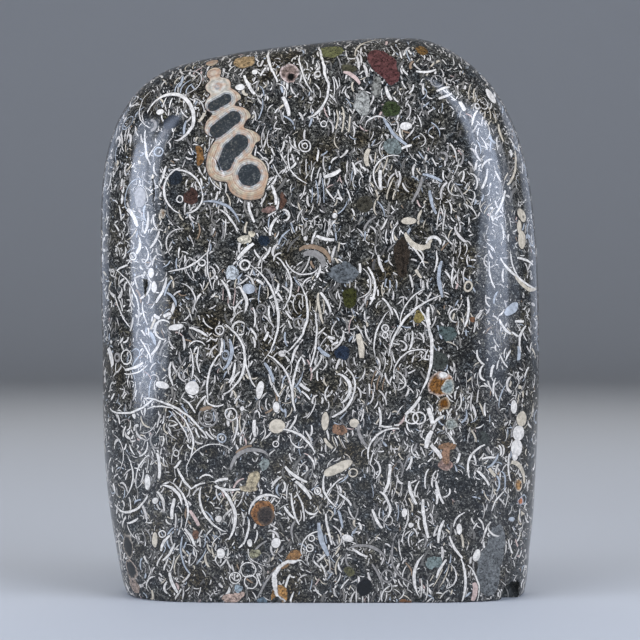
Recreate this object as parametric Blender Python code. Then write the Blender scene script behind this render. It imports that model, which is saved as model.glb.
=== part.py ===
"""A turritella agate freeform: one polished block of fossil shell stone, standing on its sawn base.

The stone is a pebble form. A sphere, with its poles on the front and the back, is drawn out to the
outline of the block: a quarter round leads from the outline to a gently crowned face on each side.
Then the block is sawn flat underneath, its sawn edge is eased, and the chips are knocked out of it.
Metres, +Z up, +Y from the front to the back, origin at the middle of the base.
"""

import math

import bmesh
import bpy
from mathutils import Matrix, Vector, noise

MM = 0.001

# Driving dimensions
WIDTH = 94 * MM
HEIGHT = 119 * MM
THICKNESS = 40 * MM
CROWN = 2.2 * MM  # how far the middle of each face stands proud of its rim
SIDE_ROUND = 20 * MM  # width of the quarter round down the sides
TOP_ROUND = 10 * MM  # width of the quarter round over the top
ROUND_POWER = 2.25  # 2 is a true quarter ellipse, more is squarer
THICKEST_AT = 42 * MM  # height of the thickest section
TOP_THINNING = 0.20  # share of the thickness lost from there to the top
BASE_THINNING = 0.05  # and from there to the base
EDGE_EASE = 0.6 * MM  # the sawn edge's small bevel
SAW_SNAP = 1.3 * MM  # points this near the saw cut are brought to it, so it leaves no slivers

# The outline of the block before it was sawn, as shares of half its width and of its height,
# anticlockwise from the middle of the right side as seen from the front.
OUTLINE = (
    (1.000, 0.430),
    (0.985, 0.635),
    (0.925, 0.795),
    (0.785, 0.913),
    (0.560, 0.985),
    (0.330, 1.001),
    (-0.120, 0.987),
    (-0.470, 0.967),
    (-0.735, 0.935),
    (-0.905, 0.864),
    (-0.985, 0.760),
    (-1.000, 0.610),
    (-0.993, 0.440),
    (-0.985, 0.260),
    (-0.940, 0.105),
    (-0.845, -0.030),
    (-0.560, -0.150),
    (0.000, -0.215),
    (0.620, -0.150),
    (0.900, -0.030),
    (0.962, 0.100),
    (0.987, 0.240),
)

# The mesh: points round the outline, and rings from one face's middle to the other's
OUTLINE_POINTS = 96
RINGS = 28
ROUND_SHARE = 0.62  # the share of the rings that the quarter round takes

# Chips in the sawn edge: where the middle is, how far it reaches each way, and a seed.
# The large one is the broken corner at the right of the front.
CHIPS = (
    ("corner_chip", (39.9, -11.4, 0.0), (3.6, 3.2, 4.0), 3),
    ("nick_left", (-27.0, -17.5, -0.2), (2.2, 1.3, 1.6), 11),
    ("nick_mid_left", (-21.5, -17.9, -0.3), (1.5, 1.2, 1.5), 23),
    ("nick_middle", (-9.0, -18.2, -0.3), (1.3, 1.2, 1.5), 37),
    ("nick_right", (20.5, -18.1, -0.4), (1.6, 1.3, 1.7), 41),
    ("nick_back", (14.0, 18.2, -0.3), (2.6, 1.5, 1.9), 53),
    ("nick_back_left", (-26.5, 17.6, -0.2), (1.9, 1.4, 1.6), 67),
)
CHIP_ROUGHNESS = 0.28  # how uneven a broken surface is, as a share of the chip's reach
PITS_PER_CHIP = 1.6  # how closely the hollows of a broken surface follow each other


def clear_scene():
    for obj in list(bpy.data.objects):
        bpy.data.objects.remove(obj, do_unlink=True)


def new_collection(name):
    collection = bpy.data.collections.new(name)
    bpy.context.scene.collection.children.link(collection)
    return collection


def outline_point(turn):
    """The outline at a share of its way round, on a Catmull-Rom curve through OUTLINE."""
    count = len(OUTLINE)
    place = (turn % 1.0) * count
    knot = int(place)
    u = place - knot
    a, b, c, d = (Vector(OUTLINE[(knot + step) % count]) for step in (-1, 0, 1, 2))
    across, up = 0.5 * (
        2 * b + (c - a) * u + (2 * a - 5 * b + 4 * c - d) * u**2 + (3 * b - a - 3 * c + d) * u**3
    )
    return Vector((across * WIDTH / 2, 0, up * HEIGHT))


def round_width(rim, middle):
    """The quarter round's width where the outline passes rim: wide at the sides, narrow at the top."""
    away = (rim - middle).normalized()
    upward = max(away.z, 0.0) ** 2
    return SIDE_ROUND + (TOP_ROUND - SIDE_ROUND) * upward


def thickness_share(height):
    """How thick the block is at a height, as a share of its thickest section."""
    if height > THICKEST_AT:
        return 1 - TOP_THINNING * ((height - THICKEST_AT) / (HEIGHT - THICKEST_AT)) ** 2
    return 1 - BASE_THINNING * ((THICKEST_AT - height) / THICKEST_AT) ** 2


def on_block(direction):
    """Where a point of the unit sphere, with its poles on the Y axis, lies on the unsawn block."""
    middle = Vector((0, 0, HEIGHT / 2))
    rim = outline_point(math.atan2(direction.z, direction.x) / math.tau)
    reach = (rim - middle).length
    width = round_width(rim, middle)
    ring = math.asin(min(1.0, abs(direction.y))) / (math.pi / 2)
    if ring < ROUND_SHARE:
        swing = ring / ROUND_SHARE * math.pi / 2
        inset = width * (1 - math.cos(swing))
        rise = (1 - math.cos(swing) ** ROUND_POWER) ** (1 / ROUND_POWER)
    else:
        inset = width + (reach - width) * (ring - ROUND_SHARE) / (1 - ROUND_SHARE)
        rise = 1.0
    out = 1 - inset / reach
    place = middle + (rim - middle) * out
    depth = (THICKNESS / 2 - CROWN) * rise + CROWN * (1 - out**2)
    place.y = math.copysign(depth * thickness_share(max(place.z, 0.0)), direction.y)
    if ring < 1e-6:
        place.y = 0.0
    return place


def saw_base(bm):
    """Cuts the block off flat at the ground and eases the sawn edge."""
    for vert in bm.verts:
        if abs(vert.co.z) < SAW_SNAP:
            vert.co.z = 0
    bmesh.ops.bisect_plane(
        bm,
        geom=bm.verts[:] + bm.edges[:] + bm.faces[:],
        dist=1e-6,
        plane_co=(0, 0, 0),
        plane_no=(0, 0, 1),
        clear_inner=True,
    )
    cut = [edge for edge in bm.edges if edge.is_boundary]
    bmesh.ops.contextual_create(bm, geom=cut)
    bmesh.ops.bevel(
        bm, geom=cut, offset=EDGE_EASE, segments=2, profile=0.5, affect="EDGES", material=-1
    )
    bmesh.ops.recalc_face_normals(bm, faces=bm.faces[:])


def stone_material():
    material = bpy.data.materials.new("polished_shell_stone")
    material.use_nodes = True
    shader = material.node_tree.nodes["Principled BSDF"]
    shader.inputs["Base Color"].default_value = (0.16, 0.16, 0.155, 1)
    shader.inputs["Roughness"].default_value = 0.15
    shader.inputs["Metallic"].default_value = 0.0
    return material


def make_block(collection):
    bm = bmesh.new()
    bmesh.ops.create_uvsphere(bm, u_segments=OUTLINE_POINTS, v_segments=RINGS, radius=1)
    bmesh.ops.rotate(bm, verts=bm.verts[:], cent=(0, 0, 0), matrix=Matrix.Rotation(math.pi / 2, 3, "X"))
    for vert in bm.verts:
        vert.co = on_block(vert.co)
    saw_base(bm)
    mesh = bpy.data.meshes.new("turritella_agate")
    bm.to_mesh(mesh)
    bm.free()
    mesh.shade_smooth()
    mesh.set_sharp_from_angle(angle=math.radians(35))
    mesh.materials.append(stone_material())
    block = bpy.data.objects.new("turritella_agate", mesh)
    collection.objects.link(block)
    return block


def make_chip(name, place, reach, seed, collection):
    """A lump with an uneven surface, to be knocked out of the block."""
    bm = bmesh.new()
    bmesh.ops.create_icosphere(bm, subdivisions=3, radius=1)
    for vert in bm.verts:
        swell = noise.noise(vert.co * PITS_PER_CHIP + Vector((seed, 0, 0)))
        vert.co *= 1 + CHIP_ROUGHNESS * swell
    bmesh.ops.scale(bm, verts=bm.verts[:], vec=Vector(reach) * MM)
    mesh = bpy.data.meshes.new(name)
    bm.to_mesh(mesh)
    bm.free()
    chip = bpy.data.objects.new(name, mesh)
    chip.location = Vector(place) * MM
    chip.hide_render = True
    chip.display_type = "WIRE"
    collection.objects.link(chip)
    return chip


def knock_out(block, chip):
    cut = block.modifiers.new(chip.name, "BOOLEAN")
    cut.operation = "DIFFERENCE"
    cut.solver = "MANIFOLD"
    cut.object = chip


def main():
    clear_scene()
    stone = new_collection("turritella_agate")
    cutters = new_collection("cutters")
    block = make_block(stone)
    for name, place, reach, seed in CHIPS:
        knock_out(block, make_chip(name, place, reach, seed, cutters))


main()
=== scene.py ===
# %% [markdown]
# # A turritella agate freeform
#
# The object is one block of fossil stone, about as tall as a hand. It formed in a lake bed that was
# packed with snail shells, whole ones and broken ones. Silica then filled the sand between them, so the
# stone is as hard all through as agate, and it takes a polish like glass. A lapidary sawed the base,
# ground the rest to a rounded slab and polished it.
#
# Nothing stands proud of the polish: every shell is cut flush with the surface. So the form is one
# smooth mesh, and the shells are a pattern that runs right through the stone, drawn in three dimensions.
# Wherever the surface cuts that pattern, at the front, the side or the top, it shows a true section.

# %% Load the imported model
import math

import bmesh
import bpy
from mathutils import Matrix, Vector, noise
from mathutils.bvhtree import BVHTree


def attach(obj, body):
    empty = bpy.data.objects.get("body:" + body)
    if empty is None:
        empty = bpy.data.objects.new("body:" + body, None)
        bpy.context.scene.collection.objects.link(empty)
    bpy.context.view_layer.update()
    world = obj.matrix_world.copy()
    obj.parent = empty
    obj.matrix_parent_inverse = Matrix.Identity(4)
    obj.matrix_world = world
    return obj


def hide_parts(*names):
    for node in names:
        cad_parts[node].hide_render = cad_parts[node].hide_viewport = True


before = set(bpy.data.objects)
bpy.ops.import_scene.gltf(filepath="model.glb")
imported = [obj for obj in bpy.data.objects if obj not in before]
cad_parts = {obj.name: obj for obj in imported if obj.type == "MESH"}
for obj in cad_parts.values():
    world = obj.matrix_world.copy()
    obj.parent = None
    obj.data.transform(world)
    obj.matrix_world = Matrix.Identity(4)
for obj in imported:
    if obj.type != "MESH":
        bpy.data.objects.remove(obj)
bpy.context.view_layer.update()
NODE = "turritella_agate"
MM = 0.001

# %% [markdown]
# ## The form of the block
#
# The block has an outline that a pencil could draw round it, and a rounding that leads from the outline
# to a nearly flat face on each side. That is a pebble, so it starts as a sphere with its poles on the
# front and the back. Its rings are then drawn out: the outer ones follow a quarter round, and the inner
# ones lie on the face, which is crowned by about two millimetres. A subdivided box would also do, but
# its rounding would have the same width everywhere, and here it is wide at the sides and narrow on top.

# %% Sizes of the block
WIDTH = 94 * MM
HEIGHT = 119 * MM
THICKNESS = 40 * MM
CROWN = 2.2 * MM  # how far the middle of each face stands proud of its rim
SIDE_ROUND = 20 * MM  # width of the quarter round down the sides
TOP_ROUND = 10 * MM  # width of the quarter round over the top
ROUND_POWER = 2.25  # 2 is a true quarter ellipse, more is squarer
THICKEST_AT = 42 * MM  # height of the thickest section
TOP_THINNING = 0.20  # share of the thickness lost from there to the top
BASE_THINNING = 0.05  # and from there to the base
ROUND_SHARE = 0.62  # share of the rings that the quarter round takes
ON_THE_OUTLINE = 1e-6  # share of the rings within which a point lies on the outline itself
# the outline before the block was sawn, as shares of half its width and of its height,
# anticlockwise from the middle of the right side as seen from the front
OUTLINE = (
    (1.000, 0.430), (0.985, 0.635), (0.925, 0.795), (0.785, 0.913), (0.560, 0.985), (0.330, 1.001),
    (-0.120, 0.987), (-0.470, 0.967), (-0.735, 0.935), (-0.905, 0.864), (-0.985, 0.760),
    (-1.000, 0.610), (-0.993, 0.440), (-0.985, 0.260), (-0.940, 0.105), (-0.845, -0.030),
    (-0.560, -0.150), (0.000, -0.215), (0.620, -0.150), (0.900, -0.030), (0.962, 0.100),
    (0.987, 0.240),
)
MIDDLE = Vector((0, 0, HEIGHT / 2))
print("block:", [round(size / MM, 1) for size in (WIDTH, THICKNESS, HEIGHT)], "mm")


# %% The outline, the rounding and the thickness
def outline_point(turn):
    """The outline at a share of its way round, on a Catmull-Rom curve through OUTLINE."""
    count = len(OUTLINE)
    place = (turn % 1.0) * count
    knot = int(place)
    u = place - knot
    a, b, c, d = (Vector(OUTLINE[(knot + step) % count]) for step in (-1, 0, 1, 2))
    across, up = 0.5 * (
        2 * b + (c - a) * u + (2 * a - 5 * b + 4 * c - d) * u**2 + (3 * b - a - 3 * c + d) * u**3
    )
    return Vector((across * WIDTH / 2, 0, up * HEIGHT))


def round_width(rim):
    """The quarter round's width: wide at the sides and narrow over the top."""
    upward = max((rim - MIDDLE).normalized().z, 0.0) ** 2
    return SIDE_ROUND + (TOP_ROUND - SIDE_ROUND) * upward


def thickness_share(height):
    """How thick the block is at a height, as a share of its thickest section."""
    if height > THICKEST_AT:
        return 1 - TOP_THINNING * ((height - THICKEST_AT) / (HEIGHT - THICKEST_AT)) ** 2
    return 1 - BASE_THINNING * ((THICKEST_AT - height) / THICKEST_AT) ** 2


def on_block(direction):
    """Where a point of the unit sphere, with its poles on the Y axis, lies on the unsawn block."""
    rim = outline_point(math.atan2(direction.z, direction.x) / math.tau)
    reach = (rim - MIDDLE).length
    width = round_width(rim)
    ring = math.asin(min(1.0, abs(direction.y))) / (math.pi / 2)
    if ring < ROUND_SHARE:
        swing = ring / ROUND_SHARE * math.pi / 2
        inset = width * (1 - math.cos(swing))
        rise = (1 - math.cos(swing) ** ROUND_POWER) ** (1 / ROUND_POWER)
    else:
        inset = width + (reach - width) * (ring - ROUND_SHARE) / (1 - ROUND_SHARE)
        rise = 1.0
    out = 1 - inset / reach
    place = MIDDLE + (rim - MIDDLE) * out
    depth = (THICKNESS / 2 - CROWN) * rise + CROWN * (1 - out**2)
    depth *= thickness_share(max(place.z, 0.0))
    place.y = 0.0 if ring < ON_THE_OUTLINE else math.copysign(depth, direction.y)
    return place


print("thickness at the top:", round(THICKNESS * thickness_share(HEIGHT) / MM, 1), "mm")

# %% The block, sawn flat underneath, with its sawn edge eased
OUTLINE_POINTS = 320
RINGS = 132
EDGE_EASE = 0.6 * MM
EASE_STEPS = (0.12, 0.3, 0.6, 1.0)  # where the eased edge gets a ring of points, as shares of its height
SAW_SNAP = 0.35 * MM  # points this near the saw cut are brought to it, so it leaves no slivers
CUT_TOLERANCE = 1e-6
SLOT_POLISHED, SLOT_BROKEN, SLOT_SAWN, SLOT_FRONT = range(4)


def cut_at(bm, height, clear_below):
    """Cuts the mesh level at a height, and takes away what is below it if asked to."""
    bmesh.ops.bisect_plane(
        bm, geom=bm.verts[:] + bm.edges[:] + bm.faces[:], dist=CUT_TOLERANCE,
        plane_co=(0, 0, height), plane_no=(0, 0, 1), clear_inner=clear_below,
    )


def saw_base(bm):
    """Cuts the block off flat at the ground and rounds the sawn edge over by EDGE_EASE."""
    for vert in bm.verts:
        if abs(vert.co.z) < SAW_SNAP:
            vert.co.z = 0
    cut_at(bm, 0, True)
    for step in EASE_STEPS:
        cut_at(bm, step * EDGE_EASE, False)
    # the edge moves inward squarely to an ellipse, which the base nearly is
    for vert in bm.verts:
        if vert.co.z < EDGE_EASE:
            lift = min(1.0, 1 - vert.co.z / EDGE_EASE)
            inward = Vector((-vert.co.x, -vert.co.y * (WIDTH / THICKNESS) ** 2, 0)).normalized()
            vert.co += inward * EDGE_EASE * (1 - math.sqrt(1 - lift**2))
    rim = [edge for edge in bm.edges if edge.is_boundary]
    made = bmesh.ops.contextual_create(bm, geom=rim)
    for face in made["faces"]:
        face.material_index = SLOT_SAWN


bm = bmesh.new()
bmesh.ops.create_uvsphere(bm, u_segments=OUTLINE_POINTS, v_segments=RINGS, radius=1)
bmesh.ops.rotate(bm, verts=bm.verts[:], cent=(0, 0, 0), matrix=Matrix.Rotation(math.pi / 2, 3, "X"))
for vert in bm.verts:
    vert.co = on_block(vert.co)
saw_base(bm)
bmesh.ops.recalc_face_normals(bm, faces=bm.faces[:])
whole_block = BVHTree.FromBMesh(bm)
print("block:", len(bm.faces), "faces")

# %% [markdown]
# ## The camera
#
# The camera comes early, because the larger shells below are placed by where they are seen. A place in
# the view is a pixel of a square, 640 on a side, and a line of sight carries it on to the stone. The
# shells could be placed in millimetres instead, but then each would have to be measured round the curve
# of the sides.

# %% The camera, and from a pixel to the stone
VIEW_SIZE = 640
LENS_ANGLE = math.radians(14.0)
EYE = Vector((0, -0.560, 0.069))
AIM = Vector((0, 0, 0.0587))

camera = bpy.data.cameras.new("camera")
camera.angle = LENS_ANGLE
viewer = bpy.data.objects.new("camera", camera)
viewer.location = EYE
viewer.rotation_euler = (AIM - EYE).to_track_quat("-Z", "Y").to_euler()
bpy.context.scene.collection.objects.link(viewer)
bpy.context.scene.camera = viewer

FOCAL = VIEW_SIZE / 2 / math.tan(LENS_ANGLE / 2)
PIXEL = (-EYE.y - THICKNESS / 2) / MM / FOCAL  # what a pixel spans on the front face, in mm


def on_stone(across, down):
    """The place on the stone, in mm, that is seen at this pixel. Beside the stone, the place nearest."""
    sight = Vector((across - VIEW_SIZE / 2, VIEW_SIZE / 2 - down, -FOCAL))
    ray = viewer.rotation_euler.to_matrix() @ sight
    hit = whole_block.ray_cast(EYE, ray)[0]
    if hit is None:
        hit = whole_block.find_nearest(EYE - ray * EYE.y / ray.y)[0]
    return hit / MM


print("pixel on the face:", round(PIXEL, 4), "mm; middle of the view:", on_stone(320, 320))

# %% [markdown]
# ## Breaks
#
# The sawn edge is chipped in seven places, and the largest chip takes off a corner. Two short cracks and
# a small hollow are open in the polished face as well. Points of the mesh could be pushed in, but that
# leaves a soft dent. A Boolean difference with an uneven lump leaves what broken stone has, a sharp rim
# and a rough floor, and the floor keeps the lump's material slot, so it can be matt.

# %% Chips and cracks
# chips: middle and half size (across, in, up) in mm, and a seed
CHIPS = (
    ("corner_chip", (39.9, -11.4, 0.0), (3.6, 3.2, 4.0), 3),
    ("nick_left", (-27.0, -17.5, -0.2), (2.2, 1.3, 1.6), 11),
    ("nick_mid_left", (-21.5, -17.9, -0.3), (1.5, 1.2, 1.5), 23),
    ("nick_middle", (-9.0, -18.2, -0.3), (1.3, 1.2, 1.5), 37),
    ("nick_right", (20.5, -18.1, -0.4), (1.6, 1.3, 1.7), 41),
    ("nick_back", (14.0, 18.2, -0.3), (2.6, 1.5, 1.9), 53),
    ("nick_back_left", (-26.5, 17.6, -0.2), (1.9, 1.4, 1.6), 67),
)
# cracks: pixel of the view, half size (across, in, up) in mm, and lean in degrees
CRACKS = (
    ("crack_left", (145.7, 289), (0.16, 0.5, 1.9), 5),
    ("crack_upper_left", (153.7, 192), (0.14, 0.45, 3.1), -1),
    ("hollow_in_shell", (218, 165), (0.2, 0.4, 1.2), -20),
)
print("chips:", len(CHIPS), "and cracks:", len(CRACKS))

# %% The lumps that knock them out
CHIP_SUBDIVISIONS, CHIP_ROUGHNESS, CHIP_GRIT = 5, 0.28, 0.06
CRACK_SUBDIVISIONS, CRACK_ROUGHNESS, CRACK_GRIT, CRACK_SEED = 3, 0.2, 0.0, 5
HOLLOWS_PER_LUMP, GRITS_PER_LUMP = 1.6, 5.0  # how closely hollows, and the finer grit, follow each other


def make_lump(name, subdivisions, reach, seed, roughness, grit):
    """A lump with an uneven surface, whose faces carry the broken stone's slot."""
    lump_bm = bmesh.new()
    bmesh.ops.create_icosphere(lump_bm, subdivisions=subdivisions, radius=1)
    for vert in lump_bm.verts:
        swell = roughness * noise.noise(vert.co * HOLLOWS_PER_LUMP + Vector((seed, 0, 0)))
        swell += grit * noise.noise(vert.co * GRITS_PER_LUMP + Vector((0, seed, 0)))
        vert.co *= 1 + swell
    bmesh.ops.scale(lump_bm, verts=lump_bm.verts[:], vec=Vector(reach) * MM)
    for face in lump_bm.faces:
        face.material_index = SLOT_BROKEN
        face.smooth = True
    lump_mesh = bpy.data.meshes.new(name)
    lump_bm.to_mesh(lump_mesh)
    lump_bm.free()
    lump = bpy.data.objects.new(name, lump_mesh)
    bpy.context.scene.collection.objects.link(lump)
    return lump


lumps = []
for name, place, reach, seed in CHIPS:
    lump = make_lump(name, CHIP_SUBDIVISIONS, reach, seed, CHIP_ROUGHNESS, CHIP_GRIT)
    lump.location = Vector(place) * MM
    lumps.append(lump)
for name, pixel, reach, lean in CRACKS:
    lump = make_lump(name, CRACK_SUBDIVISIONS, reach, CRACK_SEED, CRACK_ROUGHNESS, CRACK_GRIT)
    lump.location = on_stone(*pixel) * MM
    lump.rotation_euler = (0, math.radians(lean), 0)
    lumps.append(lump)
print("the coarsest lump has", min(len(lump.data.polygons) for lump in lumps), "faces")

# %% The stone, with its breaks knocked out
for face in bm.faces:
    face.smooth = True
mesh = bpy.data.meshes.new("stone")
bm.to_mesh(mesh)
bm.free()
stone = bpy.data.objects.new("stone", mesh)
bpy.context.scene.collection.objects.link(stone)
for lump in lumps:
    cut = stone.modifiers.new(lump.name, "BOOLEAN")
    cut.operation = "DIFFERENCE"
    cut.solver = "MANIFOLD"
    cut.object = lump
bpy.context.view_layer.update()
finished = stone.evaluated_get(bpy.context.evaluated_depsgraph_get())
broken_mesh = bpy.data.meshes.new_from_object(finished)
stone.modifiers.clear()
stone.data = broken_mesh
for lump in lumps:
    bpy.data.objects.remove(lump)
for finish, slot in (("polished", SLOT_POLISHED), ("broken", SLOT_BROKEN), ("sawn", SLOT_SAWN)):
    print(finish, "faces:", sum(1 for face in broken_mesh.polygons if face.material_index == slot))

# %% [markdown]
# ## Materials: a few helpers
#
# Colours are written as sRGB hex values, as a paint chart gives them, and turned to linear numbers here.
# A material is a tree of nodes, and one small function adds a node with its settings and its links.
# Whatever several materials share, such as the sand, is a node group, which is a tree of its own.


# %% Helpers for materials
def colour(hex_code):
    """An sRGB colour such as "#3A3A38" as linear numbers, by the sRGB curve."""
    parts = [int(hex_code[i : i + 2], 16) / 255 for i in (1, 3, 5)]
    return tuple(c / 12.92 if c <= 0.04045 else ((c + 0.055) / 1.055) ** 2.4 for c in parts) + (1.0,)


def add_node(tree, kind, *sources, named=None, **settings):
    """Adds a node. The sources go to its inputs in order, and the named ones by name.

    A source is a socket to join, or a plain value.
    """
    node = tree.nodes.new(kind)
    for name, value in settings.items():
        setattr(node, name, value)
    for key, source in [*enumerate(sources), *(named or {}).items()]:
        if isinstance(source, bpy.types.NodeSocket):
            tree.links.new(source, node.inputs[key])
        else:
            node.inputs[key].default_value = source
    return node


print("middle grey as linear numbers:", [round(part, 3) for part in colour("#808080")])


# %% Helpers for node groups and colour ramps
def new_group(name, inputs, outputs):
    """A node group with these sockets, and its input node's sockets."""
    tree = bpy.data.node_groups.new(name, "ShaderNodeTree")
    for label, kind, value in inputs:
        socket = tree.interface.new_socket(label, in_out="INPUT", socket_type=kind)
        socket.default_value = value
    for label, kind in outputs:
        tree.interface.new_socket(label, in_out="OUTPUT", socket_type=kind)
    return tree, add_node(tree, "NodeGroupInput").outputs


def set_ramp(node, stops, interpolation):
    """Gives a colour ramp these stops."""
    ramp = node.color_ramp
    ramp.interpolation = interpolation
    while len(ramp.elements) < len(stops):
        ramp.elements.new(0.5)
    for element, (position, hex_code) in zip(ramp.elements, stops):
        element.position = position
        element.color = colour(hex_code)


MATH, VECTOR_MATH, MIX = "ShaderNodeMath", "ShaderNodeVectorMath", "ShaderNodeMix"
NOISE, CELLS, RAMP = "ShaderNodeTexNoise", "ShaderNodeTexVoronoi", "ShaderNodeValToRGB"
RANGE, PARTS, JOIN = "ShaderNodeMapRange", "ShaderNodeSeparateColor", "ShaderNodeCombineXYZ"
MAPPING, GROUP = "ShaderNodeMapping", "ShaderNodeGroup"
FLOAT, VECTOR, COLOUR = "NodeSocketFloat", "NodeSocketVector", "NodeSocketColor"
print("sockets of a group:", FLOAT, VECTOR, COLOUR)

# %% [markdown]
# ## Shell hash
#
# Every bit of shell is a piece of a thin curved wall. Where a flat face cuts it, it shows as a short
# arc. So one bit is a hollow ball's wall, kept only inside a smaller ball round a point on that wall.
# A cell pattern strews such points through the stone and gives each one random numbers of its own,
# which turn the bit, bend it and size it. Several such sowings, coarse and fine, fill the stone.
# Each sowing keeps a small gap round the bits already there, because real bits lie beside each other.
# Thousands of small meshes would do it too, but the polish cuts every bit flush, so nothing of them
# would stand out of the stone. Every distance is in millimetres, below zero inside the shell.

# %% One bit of shell
TIP = 0.4  # how far a wall tips into the stone, as a slope
# a bit's bend, reach and wall are its sowing's, times a share by chance: that share's span, and its least
BIT_BEND = (0.9, 0.45)
BIT_REACH = (0.75, 0.45)
BIT_WALL = (0.9, 0.75)
END_THINNING = 0.6  # by how much of that share the wall is thinner at its broken ends
# a cell has three chances, and what follows the point in a multiple of one is a further chance
REACH_CHANCE, WALL_CHANCE, LUCK_CHANCE = 7.31, 5.7, 13.7


def further_chance(tree, chance, times):
    many = add_node(tree, MATH, chance, times, operation="MULTIPLY").outputs[0]
    return add_node(tree, MATH, many, operation="FRACT").outputs[0]


def bend_bit(tree, give, chance, local):
    """The distance from the middle of a bit's curved wall."""
    # the wall faces mostly across the stone, so its line in the polished face runs steeply
    lean = add_node(tree, MATH, chance["Blue"], 0.5, operation="SUBTRACT").outputs[0]
    lean = add_node(tree, MATH, lean, give["Slant"], operation="MULTIPLY").outputs[0]
    tip = add_node(tree, MATH, chance["Green"], 2 * TIP, -TIP, operation="MULTIPLY_ADD").outputs[0]
    facing = add_node(tree, JOIN, 1.0, tip, lean).outputs[0]
    facing = add_node(tree, VECTOR_MATH, facing, operation="NORMALIZE").outputs[0]
    # it bends to either side, and tighter in some bits than in others
    side = add_node(tree, MATH, chance["Red"], 2.0, -1.0, operation="MULTIPLY_ADD").outputs[0]
    loose = add_node(tree, MATH, side, operation="ABSOLUTE").outputs[0]
    loose = add_node(tree, MATH, loose, *BIT_BEND, operation="MULTIPLY_ADD").outputs[0]
    radius = add_node(tree, MATH, loose, give["Bend"], operation="MULTIPLY").outputs[0]
    side = add_node(tree, MATH, side, operation="SIGN").outputs[0]
    signed = add_node(tree, MATH, radius, side, operation="MULTIPLY").outputs[0]
    centre = add_node(tree, VECTOR_MATH, facing, named={"Scale": signed}, operation="SCALE").outputs[0]
    away = add_node(tree, VECTOR_MATH, local, centre, operation="DISTANCE").outputs["Value"]
    off = add_node(tree, MATH, away, radius, operation="SUBTRACT").outputs[0]
    return add_node(tree, MATH, off, give["Nest"], operation="PINGPONG").outputs[0]


def end_bit(tree, give, chance, local, odd):
    """How far a place is past a bit's ends, and half the wall there, which thins towards the ends."""
    length = add_node(tree, VECTOR_MATH, local, operation="LENGTH").outputs["Value"]
    reach = add_node(tree, MATH, odd, *BIT_REACH, operation="MULTIPLY_ADD").outputs[0]
    reach = add_node(tree, MATH, reach, give["Reach"], operation="MULTIPLY").outputs[0]
    ends = add_node(tree, MATH, length, reach, operation="SUBTRACT").outputs[0]
    along = add_node(tree, MATH, length, reach, operation="DIVIDE").outputs[0]
    along = add_node(tree, MATH, along, along, operation="MULTIPLY").outputs[0]
    thick = further_chance(tree, chance["Blue"], WALL_CHANCE)
    thick = add_node(tree, MATH, thick, *BIT_WALL, operation="MULTIPLY_ADD").outputs[0]
    thick = add_node(tree, MATH, along, -END_THINNING, thick, operation="MULTIPLY_ADD").outputs[0]
    return ends, add_node(tree, MATH, thick, give["Wall"], operation="MULTIPLY").outputs[0]


print("a bit's wall is", BIT_WALL[1], "to", sum(BIT_WALL), "times its sowing's")

# %% A sowing of shell bits
FAR = 9.0  # mm: what stands for nothing near
EMPTY = 5.0  # mm, how much further off a bit is where its cell stays empty
ALONE = 40.0  # mm: a nest so wide that a bit's wall is single
CELL_JITTER = 0.95


def make_shell_bits():
    tree, give = new_group(
        "shell_bits",
        (
            ("Place", VECTOR, (0, 0, 0)),
            ("Taken", FLOAT, FAR),
            ("Tone", FLOAT, 0.5),
            ("Cell", VECTOR, (3, 3, 3)),
            ("Bend", FLOAT, 3.0),
            ("Wall", FLOAT, 0.2),
            ("Reach", FLOAT, 1.5),
            ("Slant", FLOAT, 1.2),
            ("Gap", FLOAT, 0.2),
            ("Share", FLOAT, 1.0),
            ("Nest", FLOAT, ALONE),
        ),
        (("Taken", FLOAT), ("Tone", FLOAT)),
    )
    counted = add_node(tree, VECTOR_MATH, give["Place"], give["Cell"], operation="DIVIDE").outputs[0]
    cell = add_node(
        tree, CELLS, voronoi_dimensions="3D", feature="F1",
        named={"Vector": counted, "Scale": 1.0, "Randomness": CELL_JITTER},
    )
    chance = add_node(tree, PARTS, cell.outputs["Color"]).outputs
    local = add_node(tree, VECTOR_MATH, counted, cell.outputs["Position"], operation="SUBTRACT").outputs[0]
    local = add_node(tree, VECTOR_MATH, local, give["Cell"], operation="MULTIPLY").outputs[0]
    off = bend_bit(tree, give, chance, local)
    # one chance gives a bit both its length and its tone
    odd = further_chance(tree, chance["Green"], REACH_CHANCE)
    ends, thick = end_bit(tree, give, chance, local, odd)
    skin = add_node(tree, MATH, off, thick, operation="SUBTRACT").outputs[0]
    bit = add_node(tree, MATH, skin, ends, operation="MAXIMUM").outputs[0]
    # some cells stay empty, and each bit leaves room for those already there
    luck = further_chance(tree, chance["Red"], LUCK_CHANCE)
    empty = add_node(tree, MATH, luck, give["Share"], operation="GREATER_THAN").outputs[0]
    bit = add_node(tree, MATH, empty, EMPTY, bit, operation="MULTIPLY_ADD").outputs[0]
    room = add_node(tree, MATH, give["Gap"], give["Taken"], operation="SUBTRACT").outputs[0]
    bit = add_node(tree, MATH, bit, room, operation="MAXIMUM").outputs[0]
    nearer = add_node(tree, MATH, bit, give["Taken"], operation="LESS_THAN").outputs[0]
    tone = add_node(tree, MIX, named={"Factor": nearer, "A": give["Tone"], "B": odd}).outputs["Result"]
    taken = add_node(tree, MATH, bit, give["Taken"], operation="MINIMUM").outputs[0]
    add_node(tree, "NodeGroupOutput", taken, tone)
    return tree


shell_bits = make_shell_bits()
print("shell_bits:", len(shell_bits.nodes), "nodes")

# %% All the sowings, coarse ones first
GAP, NARROW_GAP = 0.13, 0.06  # mm
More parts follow.
